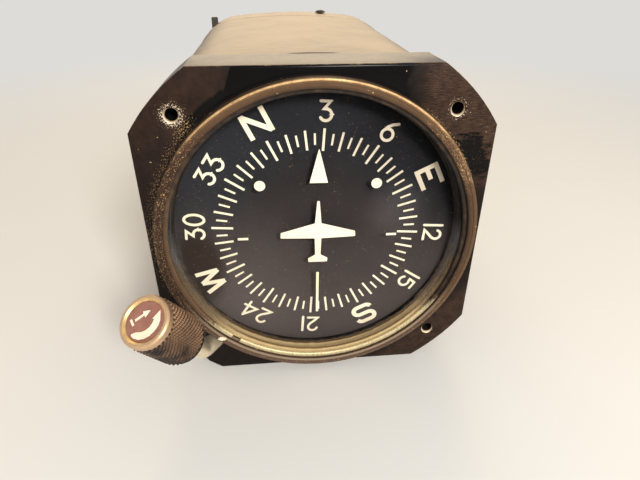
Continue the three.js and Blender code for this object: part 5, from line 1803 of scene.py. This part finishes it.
@dataclass
class DialFront:
    """The glass with the fixed marks on its back, its mask and the ring that holds it."""

    radius: float = 36.9
    glass_face: float = 1.4
    glass_back: float = -1.0
    turn: float = -0.68
    shift: Pair = (0.05, -0.32)
    snap_outer: float = 37.5
    snap_width: float = 1.5
    snap_gap: float = 4.0
    snap_gap_at: float = 232.0

    def marks(self) -> list[Shell]:
        """Builds the fixed marks: the aeroplane, the pointer, two dots, side ticks and the lower line."""
        back = self.glass_back + 0.01
        face = back - 0.05

        def flat(outline: Sequence[Pair]) -> Shell:
            """Gives an outline the paint's thickness."""
            return plate(outline, face, back)

        half = [(0.3, 9.85, 0.25), (0.55, 6.8, 0.0), (0.82, 3.75, 0.3), (9.35, 1.32, 0.3), (9.45, -0.2, 0.25),
                (0.84, -0.5, 0.2), (0.7, -5.3, 0.5), (2.5, -6.35, 0.2), (2.42, -7.45, 0.2)]
        plane = filleted(half + [(-x, y, r) for x, y, r in reversed(half)], 4)
        pointer = filleted([(0.0, 23.2, 0.15), (2.2, 14.57, 0.12), (-2.2, 14.57, 0.12)], 3)
        shells = [flat(plane), flat(pointer), flat(oblong((-0.33, -23.6), (0.33, -10.7)))]
        for side in (-1, 1):
            shells.append(flat(circle(1.3, 40, (side * 13.96, 14.15))))
            low, high = sorted((side * 17.4, side * 20.0))
            shells.append(flat(oblong((low, -0.32), (high, 0.32))))
        turn = Matrix.Rotation(math.radians(self.turn), 4, "Z")
        place = Matrix.Translation(Vector((*self.shift, 0.0))) @ turn
        return [shell.turned(place) for shell in shells]

    def build(self, palette: Palette) -> None:
        """Makes the glass, its marks, the mask, the gasket and the retaining ring."""
        edge = filleted([(0.0, self.glass_back, 0), (self.radius, self.glass_back, 0.3),
                         (self.radius, self.glass_face, 0.35), (0.0, self.glass_face, 0)], 3, closed=False)
        piece("glass_dressed", [lathe(edge, 160)], FRONT, "housing", palette.glass, ["glass"], 30.0)
        piece("fixed_marks", self.marks(), FRONT, "housing", palette.marks, smooth=30.0)
        mask = filleted([(35.4, -3.2, 0), (36.9, -3.2, 0), (36.9, -1.45, 0), (35.9, -1.45, 0.1),
                         (35.4, -2.0, 0.1)], 3)
        piece("dial_mask_dressed", [lathe(mask, 192)], FRONT, "housing", palette.mask,
              ["dial_mask"], 30.0)
        gasket = filleted([(35.95, -1.4, 0.1), (36.9, -1.4, 0.1), (36.9, -1.02, 0.1),
                           (35.95, -1.02, 0.15)], 3)
        piece("glass_gasket_dressed", [lathe(gasket, 192)], FRONT, "housing", palette.rubber,
              ["glass_gasket"], 30.0)
        low = self.glass_face + 0.1
        inner = self.snap_outer - self.snap_width
        wire = filleted([(inner, low, 0.3), (self.snap_outer, low, 0.2), (self.snap_outer, low + 1.0, 0.3),
                         (inner, low + 1.0, 0.45)], 4)
        start = math.radians(self.snap_gap_at + self.snap_gap / 2)
        open_ring = lathe(wire, 190, start, math.radians(360 - self.snap_gap))
        piece("retaining_ring_dressed", [open_ring], FRONT, "housing", palette.wire,
              ["retaining_ring"], 40.0)


@dataclass
class Knob:
    """The setting knob: a tapered, diamond knurled body with a marked plate let into its face."""

    axis: Triple = (-0.31507, -0.51112, 0.79968)
    right: Triple = (0.851, -0.525, 0.0)
    bend: Triple = (-31.43, -3.5, -31.43)
    front: float = 28.2
    length: float = 17.8
    front_radius: float = 6.26
    back_radius: float = 6.46
    rim: float = 2.0
    insert_radius: float = 4.7
    step: float = 0.5
    knurl_rise: float = 0.5
    knurl_from: float = 2.4
    knurl_to: float = 0.6
    around: int = 34

    def frame(self) -> Matrix:
        """Returns the knob's own axes: its face to the front, its reader's up and right."""
        up = Vector(self.axis).cross(Vector(self.right))
        return axes(Vector(self.right), up, Vector(self.axis), Vector(self.bend))

    def body(self) -> Shell:
        """Turns the knob's core, under the knurl's points, with its rim and hollow back."""
        back = self.front - self.length
        core_back = self.back_radius - self.knurl_rise
        core_front = self.front_radius - self.knurl_rise
        end = self.front - self.rim
        seat = self.insert_radius + 0.05
        profile = filleted([
            (1.3, back + 6.0, 0), (2.75, back + 6.0, 0.2), (2.75, back, 0.25),
            (self.back_radius - 1.5, back, 0.4), (self.back_radius - 0.5, back + 0.5, 0.4),
            (core_back, back + 1.4, 0.2), (core_front, end - 0.75, 0.15),
            (core_front - 0.15, end - 0.35, 0.1),
            (self.front_radius, end + 0.05, 0.25), (self.front_radius, self.front - 0.45, 0.4),
            (self.front_radius - 0.45, self.front, 0.35), (seat + 0.5, self.front, 0.3),
            (seat, self.front - self.step, 0.15), (seat, self.front - 1.1, 0), (1.3, self.front - 1.1, 0),
        ], 5)
        return lathe(profile, 96)

    def build(self, palette: Palette) -> None:
        """Makes the knob's pieces."""
        place = self.frame()
        back = self.front - self.length
        low = back + self.knurl_from
        high = self.front - self.rim - self.knurl_to
        taper = (self.back_radius - self.front_radius) / self.length
        valley, crest = self.front_radius - self.knurl_rise + 0.04, self.front_radius - 0.06
        metal = KnobMetal("knob_metal", self.axis, self.bend, valley, crest, taper, self.front - self.rim,
                          self.insert_radius).material()
        pitch = math.tau * self.front_radius / self.around
        rows = int((high - low) / (pitch / 2)) + 1
        knurl = diamond_knurl(metal, rows, self.around, low, high,
                              self.back_radius - self.knurl_rise / 2 - 0.06,
                              self.front_radius - self.knurl_rise / 2 + 0.01, pitch * 0.53, self.knurl_rise)
        piece("knob_dressed", [self.body(), knurl], place, "knob", metal, ["knob"], 24.0)
        self.face(palette, place)

    def face(self, palette: Palette, place: Matrix) -> None:
        """Makes the plate in the knob's face, with its two arrows."""
        low = self.front - 1.1
        top = self.front - self.step
        disc = filleted([(0.0, low, 0), (self.insert_radius, low, 0), (self.insert_radius, top, 0.2),
                         (0.0, top, 0)], 3, closed=False)
        piece("knob_insert_dressed", [lathe(disc, 72)], place, "knob", palette.insert,
              ["knob_insert"], 30.0)
        outer = [(2.9, 2.6), (3.6, 1.4), (3.78, 0.3), (3.55, -1.0), (2.95, -2.4), (1.9, -3.5), (0.6, -4.15),
                 (-0.9, -4.2), (-1.9, -3.75)]
        inner = [(-0.7, -2.8), (0.3, -2.5), (1.3, -1.7), (1.9, -0.7), (2.1, 0.4), (2.0, 1.4)]
        crescent = filleted([(x, y, 0.5) for x, y in outer] + [(x, y, 0.4) for x, y in inner], 3)
        shells = [plate(crescent, top - 0.02, top + 0.05),
                  plate([(1.55, 1.15), (3.7, 1.3), (2.45, 3.5)], top - 0.02, top + 0.056)]
        shells += self.straight_arrow(top)
        piece("knob_marks", shells, place, "knob", palette.marks, smooth=30.0)

    @staticmethod
    def straight_arrow(top: float) -> list[Shell]:
        """Builds the plain straight arrow with a dash at its tail, beside the curved one."""
        middle = Vector((-1.5, 0.65))
        along = Vector((0.6, 0.8))
        across = Vector((-0.8, 0.6))

        def flat(corners: Sequence[Pair]) -> Shell:
            """Gives an outline in the arrow's own axes the paint's thickness."""
            spots = [middle + along * x + across * y for x, y in corners]
            return plate([(p.x, p.y) for p in spots], top - 0.02, top + 0.05)

        return [flat([(-1.5, -0.3), (0.9, -0.3), (0.9, -0.85), (2.6, 0.0), (0.9, 0.85), (0.9, 0.3),
                      (-1.5, 0.3)]),
                flat(oblong((-2.6, -0.85), (-2.05, 0.85)))]


@dataclass
class Elbow:
    """The bright elbow that carries the knob's spindle out of the front's corner."""

    bend: Triple = (-31.43, -3.5, -31.43)
    shaft_axis: Triple = (0.56, 0.82849, 0.0)
    knob_axis: Triple = (-0.31507, -0.51112, 0.79968)
    radius: float = 2.3
    bore: float = 1.36
    inner_leg: float = 8.0
    outer_leg: float = 12.0
    turn: float = 1.6

    def build(self, palette: Palette) -> None:
        """Sweeps the elbow's round bar and bore round its bend."""
        bend = Vector(self.bend)
        shaft = Vector(self.shaft_axis).normalized()
        knob = Vector(self.knob_axis).normalized()
        entry = bend + shaft * self.turn
        leave = bend + knob * self.turn
        line = [bend + shaft * self.inner_leg, bend + shaft * (self.inner_leg - 0.25)]
        for i in range(17):
            t = i / 16
            line.append(entry * (1 - t) ** 2 + bend * (2 * t * (1 - t)) + leave * t * t)
        line += [bend + knob * (self.outer_leg - 0.25), bend + knob * self.outer_leg]
        across = shaft.cross(knob).normalized()
        radii = [self.radius] * len(line)
        radii[0] = radii[-1] = self.radius - 0.25
        outside = bar(line, radii, across, 48)
        inside = bar(line, [self.bore] * len(line), across, 48)
        piece("knob_elbow_dressed", [skin(outside + list(reversed(inside)))], PLAIN, "housing",
              palette.elbow, ["knob_elbow"], 30.0)


@dataclass
class Works:
    """The mechanism inside, whose CAD shapes stay and get their metals."""

    brass: Sequence[str] = ("gear", "card_nut", "air_nozzle", "balance_weight", "setting_bush")
    aluminium: Sequence[str] = ("outer_gimbal", "rotor_frame", "card_bridge", "air_manifold", "air_tube")
    steel: Sequence[str] = ("pivot", "bearing", "trunnion", "shaft", "spindle", "screw", "pinion", "spring")
    dark: Sequence[str] = ("gimbal_frame",)

    def finish_of(self, node: str, palette: Palette) -> Material:
        """Picks a node's finish by its name."""
        if node == "rotor":
            return palette.aged_brass
        if node in ("flexible_drive", "knob_set_screw"):
            return palette.dark_steel
        for names, finish in ((self.dark, palette.anodised), (self.brass, palette.brass),
                              (self.aluminium, palette.aluminium), (self.steel, palette.steel)):
            if any(name in node for name in names):
                return finish
        return palette.aluminium

    def build(self, palette: Palette) -> None:
        """Gives each CAD node that stays its finish."""
        for name, node in frame["nodes"].items():
            finish = self.finish_of(name, palette)
            if not node.data.materials:
                node.data.materials.append(finish)
            for slot in node.material_slots:
                slot.material = finish
            LOG.info("%s: %s", name, finish.name)


# Studio


@dataclass
class Studio:
    """The camera, the pale floor and the plain soft light."""

    eye: Triple = (-9.99, -106.02, 60.29)
    ahead: Triple = (0.085, 0.8634, -0.4972)
    up: Triple = (0.0457, 0.4951, 0.8676)
    lens: float = 27.585
    floor_colour: Colour = srgb(226, 224, 220)
    backdrop: Colour = srgb(236, 235, 232)
    glow: float = 0.86
    ambient: float = 0.52
    floor_fades: Pair = (140.0, 620.0)
    floor_half: float = 4.0
    floor_level: float = -0.0002

    def camera(self) -> None:
        """Places the camera at the photograph's viewing angle."""
        data = bpy.data.cameras.new("camera")
        data.sensor_width = 36.0
        data.lens = self.lens
        data.clip_start = 0.005
        made = placed("camera", data)
        ahead = Vector(self.ahead).normalized()
        right = ahead.cross(Vector(self.up)).normalized()
        made.matrix_world = axes(right, right.cross(ahead), -ahead, ORIGIN + Vector(self.eye) * MM)
        bpy.context.scene.camera = made

    def floor(self) -> None:
        """Lays the pale floor under the instrument. Far off it is as pale as the backdrop."""
        s = Surface("floor")
        darker = tuple(part * 0.97 for part in self.floor_colour[:3]) + (1.0,)
        colour = s.mix(s.noise(0.02, 3.0, 0.5), self.floor_colour, darker)
        laid = s.principled({"Base Color": colour, "Roughness": 0.85, "Specular IOR Level": 0.2})
        glow = s.node("ShaderNodeEmission", None, {"Color": self.backdrop, "Strength": self.glow}).outputs[0]
        far = s.seen() * reach(s.x, s.y).fade(*self.floor_fades)
        half, level = self.floor_half, self.floor_level
        mesh = bpy.data.meshes.new("floor")
        mesh.from_pydata([(x, y, level) for x, y in oblong((-half, -half), (half, half))], [], [(0, 1, 2, 3)])
        mesh.materials.append(s.finish(s.layered(far, laid, glow)))
        made = placed("floor", mesh)

    def lamp(self, name: str, at: Triple, aim: Triple, size: float, watts: float,
             colour: Triple = (1.0, 1.0, 1.0)) -> None:
        """Adds a square soft lamp, placed in metres."""
        data = bpy.data.lights.new(name, "AREA")
        data.shape = "SQUARE"
        data.size = size
        data.energy = watts
        data.color = colour
        made = placed(name, data)
        made.location = at
        made.rotation_euler = (Vector(aim) - Vector(at)).to_track_quat("-Z", "Y").to_euler()
        made.visible_camera = False

    def world(self) -> None:
        """Sets an even surrounding light, and a paler background where it is seen."""
        world = bpy.data.worlds.new("studio")
        bpy.context.scene.world = world
        world.use_nodes = True
        graph = Graph(world.node_tree)
        graph.tree.nodes.clear()
        strength = graph.seen() * (self.glow - self.ambient) + self.ambient
        sky = graph.value("ShaderNodeBackground", None, {"Color": self.backdrop, "Strength": strength})
        graph.node("ShaderNodeOutputWorld", None, {"Surface": sky})

    def build(self) -> None:
        """Sets up the whole studio."""
        self.camera()
        self.floor()
        self.world()
        self.lamp("window_behind", (0.03, 0.75, 0.5), (0.0, 0.02, 0.07), 0.7, 4.5, (1.0, 0.78, 0.5))
        self.lamp("front_soft", (0.17, -0.6, 0.37), (0.0, -0.07, 0.045), 0.17, 5.2, (1.0, 0.97, 0.92))
        bpy.context.scene.view_settings.view_transform = "Standard"


def main() -> None:
    """Builds the studio and the instrument, sub-assembly by sub-assembly."""
    logging.basicConfig(level=logging.INFO, format="%(name)s: %(message)s")
    Studio().build()
    palette = Palette()
    Works().build(palette)
    FrontCasting().build(palette)
    Case().build(palette)
    Card().build(palette)
    DialFront().build(palette)
    Knob().build(palette)
    Elbow().build(palette)


if __name__ == "__main__":
    main()
